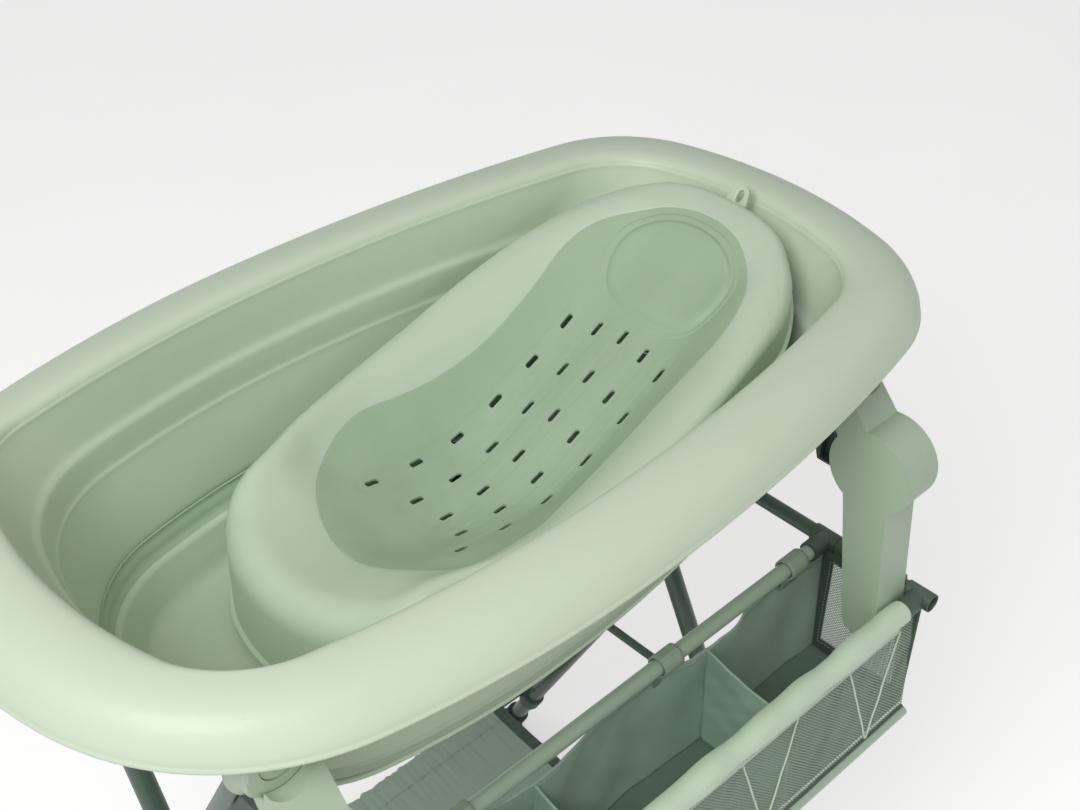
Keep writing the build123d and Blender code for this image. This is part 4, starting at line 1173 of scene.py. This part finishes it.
        start = inlay + 0.7
        span = reach - inlay - 0.7 - roll
        rows = [on_top(inlay, -2.6), on_top(inlay, -0.7), on_top(inlay + 0.2, -0.2), on_top(start, 0.0)]
        rows += [on_top(start + share * span, 0.0) for share in np.linspace(0.06, 1, 24)]
        rows += [rounded(math.radians(turn)) for turn in range(8, 90, 8)]
        rows += [skirt(0.0, share, 0.0) for share in (0.0, 0.2, 0.4, 0.6, 0.8, 0.93)]
        flange = ((-0.1, 4.6), (-1.2, 3.5), (-3.2, 3.0), (-4.0, 2.2), (-4.0, 0.7), (-3.2, 0.0), (2.6, 0.0), (3.0, 0.6))
        rows += [skirt(inset, 1.0, lift) for inset, lift in flange]
        rows += [skirt(3.0, share, 0.0) for share in (0.8, 0.5, 0.2)]
        rows += [on_top(start + share * span, -self.shell_skin) for share in (0.97, 0.8, 0.6, 0.4, 0.2, 0.0)]
        rows += [on_top(inlay, -self.shell_skin)]
        piece = shop.rings("support_raised_body", SUPPORT_BODY, rows, close_profile=True, sharp=55)
        shop.finish_piece(piece, SUPPORT_BODY, "bath_support", "support_shell")
        self.build_tab(shop)

    def build_tab(self, shop: Shop) -> None:
        """The flat hanging tab with its slot, at the head end."""
        turns = circle(72)
        c, s = np.cos(turns), np.sin(turns)
        ahead = c > 0
        wide = np.where(ahead, 9.5, (9.5 + 7.0 * np.abs(c) ** 0.8) * np.abs(s) ** 0.2)
        outer = level(self.tab_x + c * np.where(ahead, 10.0, 22.0), self.middle_y + s * wide, 0.0)
        slot = level(self.tab_slot_x + 6.4 * c, self.middle_y + np.sign(s) * np.abs(s) ** 0.8 * 3.4, 0.0)
        section = (
            (0.0, 0.6), (0.06, 0.0), (0.1, 0.0), (0.5, 0.0), (0.95, 0.0), (1.0, -0.5), (1.0, -3.4), (0.95, -4.0),
            (0.1, -4.0), (0.0, -3.4),
        )
        rows = [morph(outer, slot, share, z) for share, z in section]
        tilt = math.radians(self.tab_tilt)
        root_x, root_z = self.tab_root
        for row in rows:
            along, up = row[:, 0] - root_x, row[:, 2].copy()
            row[:, 0] = root_x + along * math.cos(tilt) - up * math.sin(tilt)
            row[:, 2] = root_z + along * math.sin(tilt) + up * math.cos(tilt)
        piece = shop.rings("support_hang_tab", SUPPORT_BODY, rows, close_profile=True, sharp=60)
        shop.finish_piece(piece, SUPPORT_BODY, "bath_support")

    def slot_lines(self) -> list[tuple[float, float]]:
        """Each column of slots: how far it lies from the middle one, as a share of the outermost, and its y."""
        middle = self.slot_columns // 2
        columns = range(-middle, middle + 1)
        return [(column / middle, self.middle_y + column * self.slot_pitch[1]) for column in columns]

    def slot_centres(self) -> list[tuple[float, float]]:
        """Where the slots are: six rows of five, bowed towards the head end."""
        centres = []
        for row in range(self.slot_rows):
            bow = self.slot_bow * (1 + 1.4 * (row / 5) ** 2)
            head = self.slot_head_x - row * self.slot_pitch[0]
            centres += [(head - bow * aside * aside, y) for aside, y in self.slot_lines()]
        return centres

    def channels(self, x: np.ndarray, y: np.ndarray) -> np.ndarray:
        """Depth of the shallow channel that each column of slots lies in."""
        depth = np.zeros(len(x))
        for aside, centre in self.slot_lines():
            head = self.slot_head_x + 14.0 - self.slot_bow * aside * aside
            foot = -18.0 - 2 * self.slot_bow * aside * aside
            inside = np.clip(x, foot, head)
            distance = np.hypot(x - inside, y - centre)
            depth = np.maximum(depth, 1 - smooth(6.0, 8.2, distance))
        return depth

    def build_inlay(self, shop: Shop) -> None:
        """The dished inlay with its channels, cut by the drain slots."""
        outline = self.inlay_outline(0.0)
        upper = outline[outline[:, 1] >= self.middle_y - 1e-6]
        order = np.argsort(upper[:, 0])
        tips = (upper[:, 0].min(), upper[:, 0].max())
        turn = np.linspace(0, math.pi, 170)
        along = (tips[0] + tips[1]) / 2 - np.cos(turn) * (tips[1] - tips[0]) / 2
        half = np.interp(along, upper[order, 0], upper[order, 1] - self.middle_y)
        half[0] = half[-1] = 0.5
        across = np.linspace(-1, 1, 191)
        x = np.repeat(along[:, None], len(across), 1)
        y = self.middle_y + half[:, None] * across[None, :]
        flat_x, flat_y = x.ravel(), y.ravel()
        to_tip = np.minimum(along - tips[0], tips[1] - along)
        rim = np.minimum(half[:, None] * (1 - np.abs(across[None, :])), to_tip[:, None])
        height = self.height(flat_x, flat_y)
        top = height - 0.55 * self.channels(flat_x, flat_y) - 0.45 * (1 - smooth(0.0, 1.1, rim.ravel())) - 0.12
        rows, columns = x.shape
        points = np.concatenate([np.column_stack([flat_x, flat_y, z]) for z in (top, height - self.skin)])
        base = rows * columns
        faces = []
        for row in range(rows - 1):
            for column in range(columns - 1):
                a, b = row * columns + column, (row + 1) * columns + column
                faces.append((a, b, b + 1, a + 1))
                faces.append((base + a, base + a + 1, base + b + 1, base + b))
        border = [row * columns for row in range(rows)] + [(rows - 1) * columns + c for c in range(1, columns)]
        border += [row * columns + columns - 1 for row in range(rows - 2, -1, -1)] + list(range(columns - 2, 0, -1))
        for place, corner in enumerate(border):
            beside = border[(place + 1) % len(border)]
            faces.append((corner, base + corner, base + beside, beside))
        piece = shop.mesh("support_dished_inlay", SUPPORT_INLAY, points, faces, sharp=50)
        cutter = self.slot_cutter(shop)
        cut = piece.modifiers.new("slots", "BOOLEAN")
        cut.operation, cut.solver, cut.object = "DIFFERENCE", "EXACT", cutter
        evaluated = piece.evaluated_get(bpy.context.evaluated_depsgraph_get())
        baked = bpy.data.meshes.new_from_object(evaluated)
        piece.modifiers.clear()
        piece.data = baked
        baked.set_sharp_from_angle(angle=math.radians(50))
        bpy.data.objects.remove(cutter)
        shop.finish_piece(piece, SUPPORT_INLAY, "bath_support", "support_inlay")

    def slot_cutter(self, shop: Shop) -> bpy.types.Object:
        """A set of long round-ended prisms, one for each slot."""
        turns = circle(28)
        count = len(turns)
        straight = np.where(np.cos(turns) >= 0, self.slot_straight, -self.slot_straight)
        plan_x = straight + self.slot_radius * np.cos(turns)
        plan_y = self.slot_radius * np.sin(turns)
        points, faces = [], []
        for x, y in self.slot_centres():
            height = float(self.height(np.array([x]), np.array([y]))[0])
            base = len(points)
            for z in (height - 30.0, height + 30.0):
                points += list(level(x + plan_x, y + plan_y, z))
            for place in range(count):
                beside = (place + 1) % count
                faces.append((base + place, base + beside, base + count + beside, base + count + place))
            faces.append(tuple(base + k for k in range(count))[::-1])
            faces.append(tuple(base + count + k for k in range(count)))
        return shop.mesh("slot_cutter", SUPPORT_INLAY, np.array(points), faces)

    def build_headrest(self, shop: Shop) -> None:
        """The soft pad under the child's head: a rounded triangle with a bevelled edge and a crowned top."""
        turns = circle(120)
        c, s = np.cos(turns), np.sin(turns)
        length = np.where(c > 0, self.headrest_head, self.headrest_foot)
        power = np.where(c > 0, 2.05, 2.05 + 0.75 * np.minimum(-c * 2, 1))
        reach = ((np.abs(c) / length) ** power + (np.abs(s) / self.headrest_half_width) ** power) ** (-1 / power)
        rows = []
        for inset, lift in (
            (37.5, -1.8), (28.0, -1.8), (16.0, -1.8), (4.0, -1.8), (-6.0, -1.8), (-8.6, -0.9), (-7.8, 0.2),
            (-5.5, 0.7), (-3.0, 0.3), (-1.6, 0.5), (-0.4, 1.7), (0.8, 3.4), (2.4, 5.0), (4.6, 6.2), (7.4, 7.0),
            (11.0, 7.4), (16.0, 7.6), (22.0, 7.8), (28.0, 7.9), (34.0, 8.0), (37.5, 8.0),
        ):
            radius = reach - inset if inset < 20 else (reach - 16.0) * (38.0 - inset) / 22.0
            x, y = self.headrest_x + radius * c, self.middle_y + radius * s
            rows.append(np.column_stack([x, y, self.height(x, y) + lift]))
        piece = shop.rings("support_headrest_pad", SUPPORT_INLAY, rows, sharp=70)
        cap = bmesh.new()
        cap.from_mesh(piece.data)
        bmesh.ops.holes_fill(cap, edges=[edge for edge in cap.edges if edge.is_boundary], sides=0)
        bmesh.ops.recalc_face_normals(cap, faces=cap.faces)
        cap.to_mesh(piece.data)
        cap.free()
        shop.finish_piece(piece, SUPPORT_INLAY, "bath_support", "support_headrest")

    def build_feet(self, shop: Shop) -> None:
        """Four turned rubber feet between the body and the tub's floor."""
        turns = circle(28)
        places = [(x, self.middle_y + side * self.foot_y) for x in self.foot_places for side in (-1, 1)]
        sole = ((0.4, 0.0), (9.5, 0.0), (10.8, 1.0), (11.0, 3.1), (10.6, 6.1), (9.0, 9.1), (6.6, 11.6), (5.0, 15.6))
        head = ((5.0, -6.0), (6.5, -1.5), (9.0, 0.0), (0.4, 0.0))
        for number, (x, y) in enumerate(places):
            top = float(self.height(x + 8 * np.cos(turns), y + 8 * np.sin(turns)).min()) - 4.4
            section = [(radius, self.foot_z + z) for radius, z in sole] + [(radius, top + z) for radius, z in head]
            rows = [level(x + radius * np.cos(turns), y + radius * np.sin(turns), z) for radius, z in section]
            piece = shop.rings(f"support_foot_{number}", RUBBER, rows)
            shop.finish_piece(piece, RUBBER, "bath_support", *(("support_feet",) if number == 0 else ()))

    def build(self, shop: Shop) -> None:
        """Builds and dresses the whole support."""
        self.build_body(shop)
        self.build_inlay(shop)
        self.build_headrest(shop)
        self.build_feet(shop)


@dataclass
class Stand:
    """The folding stand's tubes, hubs, arms, rods and fittings, which keep their CAD shapes."""

    ends: tuple[str, str] = ("head", "foot")

    def pairs(self, *stems: str) -> list[str]:
        """Names of nodes that come as a head and a foot piece."""
        return [f"{stem}_{end}" for stem in stems for end in self.ends]

    def build(self, shop: Shop) -> None:
        """Dresses every node of the stand."""
        shop.dress(DARK_FRAME, *self.pairs("leg_b", "leg_a"), "shelf_rod_far", "shelf_rod_near")
        shop.dress(RUBBER, "far_feet", "near_feet")
        shop.dress(PALE_MOULDING, *self.pairs("hub_near", "hub_far", "elbow_arm"))
        shop.dress(PALE_MOULDING, *self.pairs("button_near", "button_far"))
        shop.dress(DARK_MOULDING, *self.pairs("arm_web", "lock_hook"), "shelf_clips_far", "shelf_clips_near")
        shop.dress(DARK_MOULDING, "lock_brackets", "lock_collars", "tube_brackets", "arm_clips", "rail_sockets")
        shop.dress(METAL, "pivot_bolts", "button_springs_near", "button_springs_far")
        shop.dress(DARK_FRAME, *self.pairs("lock_rod", "basket_tube"))
        shop.dress(PALE_RAIL, "back_rail", "front_rail", "bottom_rail")
        shop.dress(RUBBER, "pivot_spacers")


@dataclass
class Shelf:
    """The cloth shelf: one sheet hung between two rods, a sewn sleeve round each and a hem at each end."""

    rod_y: float = 239.7
    rod_z: float = 100.0
    sleeve_radius: float = 8.6
    half_length: float = 287.0
    sag: float = 14.0
    seam_in: float = 24.0
    seam_rise: float = 3.2

    def profile(self) -> np.ndarray:
        """The sheet's section, from the far seam round the far sleeve, across, and round the near sleeve."""
        turns = np.radians(np.linspace(-78, 78, 22))
        inner = self.rod_y - self.seam_in
        below = [(-self.seam_in, 2.2), (-16.0, -1.2), (-9.0, -5.4)]
        above = [(-9.0, 6.9), (-16.0, 4.9), (-self.seam_in, self.seam_rise)]
        half = np.array(below + arc((0.0, 0.0), self.sleeve_radius, turns) + above) + (self.rod_y, self.rod_z)
        across = np.linspace(inner, -inner, 61)[1:-1]
        share = across / inner
        middle = np.column_stack([across, self.rod_z + self.seam_rise - (self.sag + 2.0) * (1 - share**2)])
        return np.concatenate([half, middle, (half * (-1, 1))[::-1]])

    def surface(self, lengths: np.ndarray, lift: float, seed: int) -> np.ndarray:
        """The cloth as a grid of points, with gathers at the sleeves and soft folds between.

        Args:
            lengths: places along the shelf.
            lift: how far the surface is moved outwards.
            seed: chooses the folds.

        Returns:
            Points by place along and place round the section.
        """
        section = self.profile()
        travel = travelled(section)
        grid_x, grid_s = np.meshgrid(lengths, travel, indexing="ij")
        beside = np.minimum(np.abs(section[:, 0] - self.rod_y), np.abs(section[:, 0] + self.rod_y))[None, :]
        tight = np.exp(-((beside / 46.0) ** 2))
        gathers = wrinkles(grid_x, grid_s, seed, 17.0, 10, 0.12) * (0.4 + 1.7 * tight) * smooth(0.0, 7.0, beside)
        soft = wrinkles(grid_s, grid_x, seed + 1, 120.0, 7, 0.8) * 1.6 * (1 - tight)
        on_rod = 0.35 * wrinkles(grid_x, grid_s, seed + 2, 13.0, 8, 0.2) * (1 - smooth(0.0, 12.0, beside))
        seam = -0.9 * np.exp(-(((beside - self.seam_in + 1) / 1.6) ** 2))
        out = lift + gathers + soft + on_rod + seam
        return swept(lengths, section + normals(section) * out[..., None])

    def build(self, shop: Shop) -> None:
        """Builds the sheet, its end hems and its seams, and bakes each piece's placement into its mesh."""
        lengths = np.linspace(-self.half_length, self.half_length, 361)
        grid = self.surface(lengths, 0.0, 11)
        cloth = shop.rings("shelf_sheet", SHELF_FABRIC, list(grid), close_ring=False, sharp=80)
        shop.thicken(cloth, 1.2)
        shop.finish_piece(cloth, SHELF_FABRIC, "", "shelf_cloth")
        trims = []
        for end, name in ((1, "head"), (-1, "foot")):
            places = end * np.linspace(self.half_length - 15.0, self.half_length + 0.8, 9)
            grid = self.surface(places, 1.1, 11)
            hem = shop.rings(f"shelf_hem_{name}", BINDING, list(grid), close_ring=False, sharp=80)
            shop.thicken(hem, 0.9)
            shop.finish_piece(hem, BINDING, "")
            trims.append(hem)
        for side, name in ((1, "far"), (-1, "near")):
            line = level(lengths, np.full(len(lengths), side * (self.rod_y - self.seam_in)), self.rod_z + 4.6)
            trims.append(shop.stitches(f"shelf_seam_{name}", line, np.array((0, 0, 1))))
            shop.finish_piece(trims[-1], THREAD, "")
        for piece in (cloth, *trims):
            start, end = (to_row(np.array((0.0, y, self.rod_z))) for y in (self.rod_y - 14, -self.rod_y + 14))
            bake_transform(piece)


@dataclass
class Basket:
    """The cloth basket: folded back wall, sleeve and net at the front, end panels, floor, dividers and loops."""

    reach: float = 354.0
    rail_z: float = 640.0
    back_y: float = -174.0
    back_base_y: float = -180.0
    front_y: float = -288.0
    front_base_y: float = -296.0
    floor_z: float = 492.0
    back_top_z: float = 622.0
    sleeve_reach: float = 325.0
    end_x: float = 356.0
    end_near_y: float = -292.5
    end_far_y: float = -173.5
    end_top_z: float = 629.0
    front_base_z: float = 488.5
    front_top_z: float = 615.5
    divider_places: tuple[float, float] = (168.0, -65.0)
    loop_places: tuple[float, float, float] = (300.0, 112.0, -150.0)

    def sheet(
        self, shop: Shop, name: str, finish: Finish, grid: np.ndarray, thickness: float, *nodes: str
    ) -> bpy.types.Object:
        """Makes a sheet from a grid of points and lets it ride on the basket's body.

        Args:
            shop: makes the mesh.
            name: the piece's name.
            finish: its finish.
            grid: points by row and column.
            thickness: of the cloth.
            nodes: the CAD nodes it replaces.

        Returns:
            The piece.
        """
        piece = shop.rings(name, finish, list(grid), close_ring=False, sharp=80)
        shop.thicken(piece, thickness)
        return shop.finish_piece(piece, finish, "frame_b", *nodes)

    def back_surface(self, along: np.ndarray, up: np.ndarray) -> np.ndarray:
        """The back wall's points: six soft folds, stronger at the top, and creases.

        Args:
            along: places along.
            up: shares of the wall's height.

        Returns:
            Points by row of height and place along.
        """
        x, share = np.meshgrid(along, up)
        fold = (x + self.reach) / (2 * self.reach) * 6
        part = fold - np.floor(fold)
        swing = np.where(np.floor(fold).astype(int) % 2 == 0, -1.0, 1.0)
        wave = swing * 4 * part * (1 - part) * (0.33 + 0.67 * share) * 5.4
        held_low = np.sin(math.pi * np.clip(share * 0.85 + 0.08, 0, 1))
        crease = wrinkles(x, share * 130, 31, 95.0, 9, 1.1) * 6.0 * held_low
        gather = wrinkles(x, share * 130, 32, 34.0, 8, 0.5) * smooth(0.3, 1.0, share)
        held = smooth(self.reach, self.reach - 42.0, np.abs(x))
        y = self.back_base_y + (self.back_y - self.back_base_y) * share + (wave + crease + gather) * held
        sag = sum(np.exp(-(((x - place) / 40.0) ** 2)) for place in self.loop_places)
        base = self.floor_z + 0.6
        z = base + (self.back_top_z - base) * share - 4.0 * share * (1 - np.clip(sag, 0, 1))
        return np.stack([x, y, z], axis=-1)

    def build_back(self, shop: Shop) -> None:
        """The back wall with its piped top edge and a row of stitches."""
        along = np.linspace(-self.reach, self.reach, 321)
        grid = self.back_surface(along, np.linspace(0, 1, 45))
        piece = self.sheet(shop, "basket_back_wall", BASKET_FABRIC, grid, 1.2, "basket_back")
        top = grid[-1]
        piping = shop.tube("basket_back_piping", BASKET_FABRIC, top + (0, 0, 0.8), 1.5, 12)
        shop.finish_piece(piping, BASKET_FABRIC, "frame_b")
        seam = shop.stitches("basket_back_stitching", grid[-3] + (0, -0.9, 0), TO_NEAR)
        shop.finish_piece(seam, THREAD, "frame_b")

    def build_front(self, shop: Shop) -> None:
        """The front: a wrinkled sleeve round the rail, and a net wall below it with slanting seams."""
        turns = np.radians(np.linspace(200, -20, 26))
        centre = (self.front_y, self.rail_z)
        section = [(self.front_y + 1.6, 617.0), (self.front_y + 1.4, 624.0), (self.front_y + 5.0, 630.0)]
        section += arc(centre, 10.6, turns)[::-1]
        section += [(self.front_y - 5.5, 630.0), (self.front_y - 2.6, 624.0), (self.front_y - 2.2, 612.0)]
        section = np.array(section)
        lengths = np.linspace(-self.sleeve_reach, self.sleeve_reach, 331)
        travel = travelled(section)
        normal = normals(section)
        normal *= np.sign(np.sum(normal * (section - centre), axis=1))[:, None]
        grid_x, grid_s = np.meshgrid(lengths, travel, indexing="ij")
        fold = wrinkles(grid_x, grid_s, 41, 68.0, 7, 1.0)
        free = smooth(0, 9, np.abs(section[:, 1] - self.rail_z))[None, :]
        puffed = np.maximum(1.7 + 1.5 * fold, 0.0) * (0.55 + 0.45 * free)
        out = np.where(section[None, :, 1] < 628, 0.25 * fold, puffed)
        points = swept(lengths, section + normal * out[..., None])
        sleeve = self.sheet(shop, "basket_front_sleeve", BASKET_SLEEVE, points, 1.1)
        x, share = np.meshgrid(np.linspace(-self.reach, self.reach, 241), np.linspace(0, 1, 33))
        wave = wrinkles(x, share * 120, 43, 70.0, 9, 0.6) * (1.2 + 1.6 * np.sin(math.pi * share))
        wave = wave * (0.3 + 0.7 * share) * (1 - smooth(0.93, 1, share))
        y = self.front_base_y + (self.front_y + 0.2 - self.front_base_y) * share + wave
        rise = self.front_top_z - self.front_base_z
        z = self.front_base_z + rise * share
        wall = self.sheet(shop, "basket_front_wall", FRONT_NET, np.stack([x, y, z], axis=-1), 0.8, "basket_front")
        edge = np.stack([x[0], y[0] - 0.4, z[0] + 1.2], axis=-1)
        shop.finish_piece(shop.tube("basket_front_piping", BINDING, edge, 2.0, 10), BINDING, "frame_b")
        for number, place in enumerate((-250.0, -60.0, 130.0, 290.0)):
            for side in (-1, 1):
                shares = np.linspace(0.02, 0.96, 24)
                seam_x = place + side * 42.0 * shares
                column = np.clip(np.searchsorted(x[0], seam_x), 1, x.shape[1] - 1)
                row = np.clip((shares * 32).astype(int), 0, 32)
                path = np.column_stack([seam_x, y[row, column] - 0.9, self.front_base_z + rise * shares])
                seam = shop.tube(f"basket_front_seam_{number}{'ab'[side > 0]}", BASKET_SLEEVE, path, 1.1, 8)
                shop.finish_piece(seam, BASKET_SLEEVE, "frame_b")
        stitch_path = points[:, -3] + (0, -1.2, 0)
        stitches = shop.stitches("basket_sleeve_stitching", stitch_path, TO_NEAR)
        shop.finish_piece(stitches, THREAD, "frame_b")

    def build_floor(self, shop: Shop) -> None:
        """The basket's floor, sagging a little between its edges."""
        near, far = -292.0, -174.5
        end = self.reach + 2.2
        x, y = np.meshgrid(np.linspace(-end, end, 161), np.linspace(near, far, 31))
        middle = 4 * (y - near) * (far - y) / (far - near) ** 2
        z = self.floor_z - 0.9 + wrinkles(x, y, 51, 90.0, 8, 0.8) * 0.5 - 1.5 * middle
        grid = np.stack([x, y, z], axis=-1)
        piece = self.sheet(shop, "basket_floor_sheet", BASKET_FLOOR_FABRIC, grid, 1.2, "basket_floor")

    def end_frame(self, x: float, inset: float) -> np.ndarray:
        """A closed rectangle of points on an end panel, moved inwards by an inset."""
        near, far = self.end_near_y + inset, self.end_far_y - inset
        low, high = self.floor_z - 1.5 + inset, self.end_top_z - inset
        corners = np.array(((x, near, low), (x, far, low), (x, far, high), (x, near, high), (x, near, low)))
        return np.concatenate([np.linspace(a, b, 16, endpoint=False) for a, b in zip(corners, corners[1:])])

    def build_ends(self, shop: Shop) -> None:
        """An end panel at each end: a net window in a dark binding."""
        for side, end in ((1, "head"), (-1, "foot")):
            reach_y = np.linspace(self.end_near_y + 1.5, self.end_far_y - 4.0, 49)
            y, share = np.meshgrid(reach_y, np.linspace(0, 1, 41))
            base = self.floor_z + 0.5
            z = base + (self.end_top_z - 1.5 - base) * share
            bulge = wrinkles(y, share * 130, 60 + side, 55.0, 8, 0.7) * 0.9
            x = side * self.end_x + bulge * np.sin(math.pi * share)
            grid = np.stack([x, y, z], axis=-1)
            piece = self.sheet(shop, f"basket_end_window_{end}", END_NET, grid, 0.8, f"basket_end_{end}")
            section = [(0.0, 1.3), (2.0, 1.9), (12.0, 1.9), (14.0, 1.3)]
            section += [(inset, -out) for inset, out in section[::-1]]
            rows = [self.end_frame(side * self.end_x + out, inset) for inset, out in section]
            trim = shop.rings(f"basket_end_binding_{end}", BINDING, rows, close_profile=True, sharp=60)
            shop.finish_piece(trim, BINDING, "frame_b")
            loop = self.end_frame(side * (self.end_x - 2.1), 11.6)
            seam = shop.stitches(f"basket_end_stitching_{end}", loop, np.array((-side, 0, 0)))
            shop.finish_piece(seam, THREAD, "frame_b")

    def build_dividers(self, shop: Shop) -> None:
        """Two dividers with a sagging, hemmed top edge."""
        for place, end in zip(self.divider_places, ("head", "foot")):
            across, share = np.meshgrid(np.linspace(0, 1, 41), np.linspace(0, 1, 37))
            front = -290.5 + 6.5 * share
            back = -183.5 + 5.5 * share
            y = front + (back - front) * across
            top = 604.0 + 14.0 * across - 7.0 * 4 * across * (1 - across)
            z = self.floor_z + 0.6 + (top - self.floor_z - 0.6) * share
            x = place + wrinkles(y, z, 70 + int(place), 60.0, 8, 0.8) * 1.5 * np.sin(math.pi * share * 0.8)
            grid = np.stack([x, y, z], axis=-1)
            name = f"basket_divider_panel_{end}"
            piece = self.sheet(shop, name, BASKET_END_FABRIC, grid, 1.6, f"basket_divider_{end}")
            hem = shop.tube(f"basket_divider_hem_{end}", BASKET_END_FABRIC, grid[-1], 1.5, 10)
            shop.finish_piece(hem, BASKET_END_FABRIC, "frame_b")

    def build_loops(self, shop: Shop) -> None:
        """Webbing loops round the back rail, each sewn to the wall's top edge."""
        for number, place in enumerate(self.loop_places):
            turns = np.radians(np.linspace(-60, 240, 30))
            ring = arc((self.back_y, self.rail_z), 10.4, turns)
            tail = [(self.back_y + 1.9, 628.6), (self.back_y + 1.5, 622.0), (self.back_y + 1.9, 611.0)]
            other = [(self.back_y - 2.5, 629.0), (self.back_y - 1.3, 624.5), (self.back_y - 0.4, 622.6)]
            section = np.array(tail[::-1] + ring + other)
            grid = swept(place + np.linspace(-13.0, 13.0, 8), section)
            piece = shop.rings(f"basket_loop_{number}", WEBBING, list(grid), close_ring=False, sharp=80)
            shop.thicken(piece, 2.0)
            nodes = ("basket_loops",) if number == 0 else ()
            shop.finish_piece(piece, WEBBING, "frame_b", *nodes)

    def build(self, shop: Shop) -> None:
        """Builds and dresses every cloth piece of the basket."""
        self.build_back(shop)
        self.build_front(shop)
        self.build_floor(shop)
        self.build_ends(shop)
        self.build_dividers(shop)
        self.build_loops(shop)


@dataclass
class Studio:
    """The floor, the soft lights, the pale surroundings and the camera."""

    place: tuple[float, float, float] = (-0.723, -0.80613, 1.743)
    yaw: float = 44.633
    pitch: float = 37.909
    roll: float = -1.364
    focal_pixels: float = 1600.34
    image_width: float = 1080.0
    sensor: float = 36.0
    ambient: float = 0.4
    key_watts: float = 43.0
    key_place: tuple[float, float, float] = (-1.7, -0.75, 2.7)
    key_size: float = 1.5
    fill_watts: float = 7.0
    fill_place: tuple[float, float, float] = (-0.5, -2.4, 1.3)
    fill_size: float = 1.8
    lit_z: float = 0.7
    floor_half: float = 30.0
    floor_glow: float = 0.42

    def build_camera(self) -> None:
        """Sets the camera at the photograph's place and angle."""
        yaw, pitch, roll = (math.radians(v) for v in (self.yaw, self.pitch, self.roll))
        forward = np.array((math.cos(yaw) * math.cos(pitch), math.sin(yaw) * math.cos(pitch), -math.sin(pitch)))
        right = np.array((math.sin(yaw), -math.cos(yaw), 0.0))
        down = np.cross(forward, right)
        turned_right = math.cos(roll) * right + math.sin(roll) * down
        turned_down = -math.sin(roll) * right + math.cos(roll) * down
        matrix = np.eye(4)
        matrix[:3, 0], matrix[:3, 1], matrix[:3, 2], matrix[:3, 3] = turned_right, -turned_down, -forward, self.place
        data = bpy.data.cameras.new("camera")
        data.sensor_width = self.sensor
        data.lens = self.focal_pixels / self.image_width * self.sensor
        data.clip_end = 50
        camera = bpy.data.objects.new("camera", data)
        camera.matrix_world = Matrix(matrix.tolist())
        bpy.context.scene.collection.objects.link(camera)
        bpy.context.scene.camera = camera

    def build_floor(self) -> None:
        """A wide pale floor that shows white to the camera and keeps the object's shadow."""
        data = bpy.data.meshes.new("floor")
        size = self.floor_half
        data.from_pydata([(-size, -size, 0), (size, -size, 0), (size, size, 0), (-size, size, 0)], [], [(0, 1, 2, 3)])
        floor = bpy.data.objects.new("floor", data)
        bpy.context.scene.collection.objects.link(floor)
        material = bpy.data.materials.new("studio_floor")
        material.use_nodes = True
        graph = Graph(material.node_tree)
        shader = material.node_tree.nodes["Principled BSDF"]
        where = graph.node("ShaderNodeTexCoord").outputs["Object"]
        tone = graph.noise(where, 3.0)
        graph.feed(shader.inputs["Base Color"], graph.mix(tone, (0.84, 0.84, 0.83, 1), (0.88, 0.88, 0.87, 1)))
        shader.inputs["Roughness"].default_value = 0.9
        path = graph.node("ShaderNodeLightPath")
        seen = graph.maths("MAXIMUM", path.outputs["Is Camera Ray"], path.outputs["Is Glossy Ray"])
        seen = graph.maths("MAXIMUM", seen, path.outputs["Is Transmission Ray"])
        shader.inputs["Emission Color"].default_value = (1, 1, 1, 1)
        graph.feed(shader.inputs["Emission Strength"], graph.times(seen, self.floor_glow))
        data.materials.append(material)

    def build_lights(self) -> None:
        """A large soft key over the basket's side, a weaker fill, and even light all round."""
        for name, place, size, watts in (
            ("key", self.key_place, self.key_size, self.key_watts),
            ("fill", self.fill_place, self.fill_size, self.fill_watts),
        ):
            data = bpy.data.lights.new(name, "AREA")
            data.shape, data.size, data.energy = "DISK", size, watts
            lamp = bpy.data.objects.new(name, data)
            lamp.location = place
            lamp.rotation_mode = "QUATERNION"
            lamp.rotation_quaternion = (Vector((0, 0, self.lit_z)) - Vector(place)).to_track_quat("-Z", "Y")
            bpy.context.scene.collection.objects.link(lamp)
        world = bpy.data.worlds.new("surroundings")
        bpy.context.scene.world = world
        world.use_nodes = True
        graph = Graph(world.node_tree)
        back = world.node_tree.nodes["Background"]
        path = graph.node("ShaderNodeLightPath")
        seen = graph.maths("MAXIMUM", path.outputs["Is Camera Ray"], path.outputs["Is Transmission Ray"])
        strength = graph.maths("ADD", graph.times(seen, 1.0 - self.ambient), self.ambient)
        back.inputs["Color"].default_value = (1, 1, 1, 1)
        graph.feed(back.inputs["Strength"], strength)

    def build(self) -> None:
        """Builds the studio."""
        bpy.context.scene.view_settings.view_transform = "Standard"
        self.build_camera()
        self.build_floor()
        self.build_lights()


def main() -> None:
    """Builds the studio and every sub-assembly in order."""
    logging.basicConfig(level=logging.INFO, format="%(message)s")
    Studio().build()
    shop = Shop()
    for part in (Tub(), BathSupport(), Stand(), Shelf(), Basket()):
        part.build(shop)
        log.info("%s done", type(part).__name__)


if __name__ == "__main__":
    main()
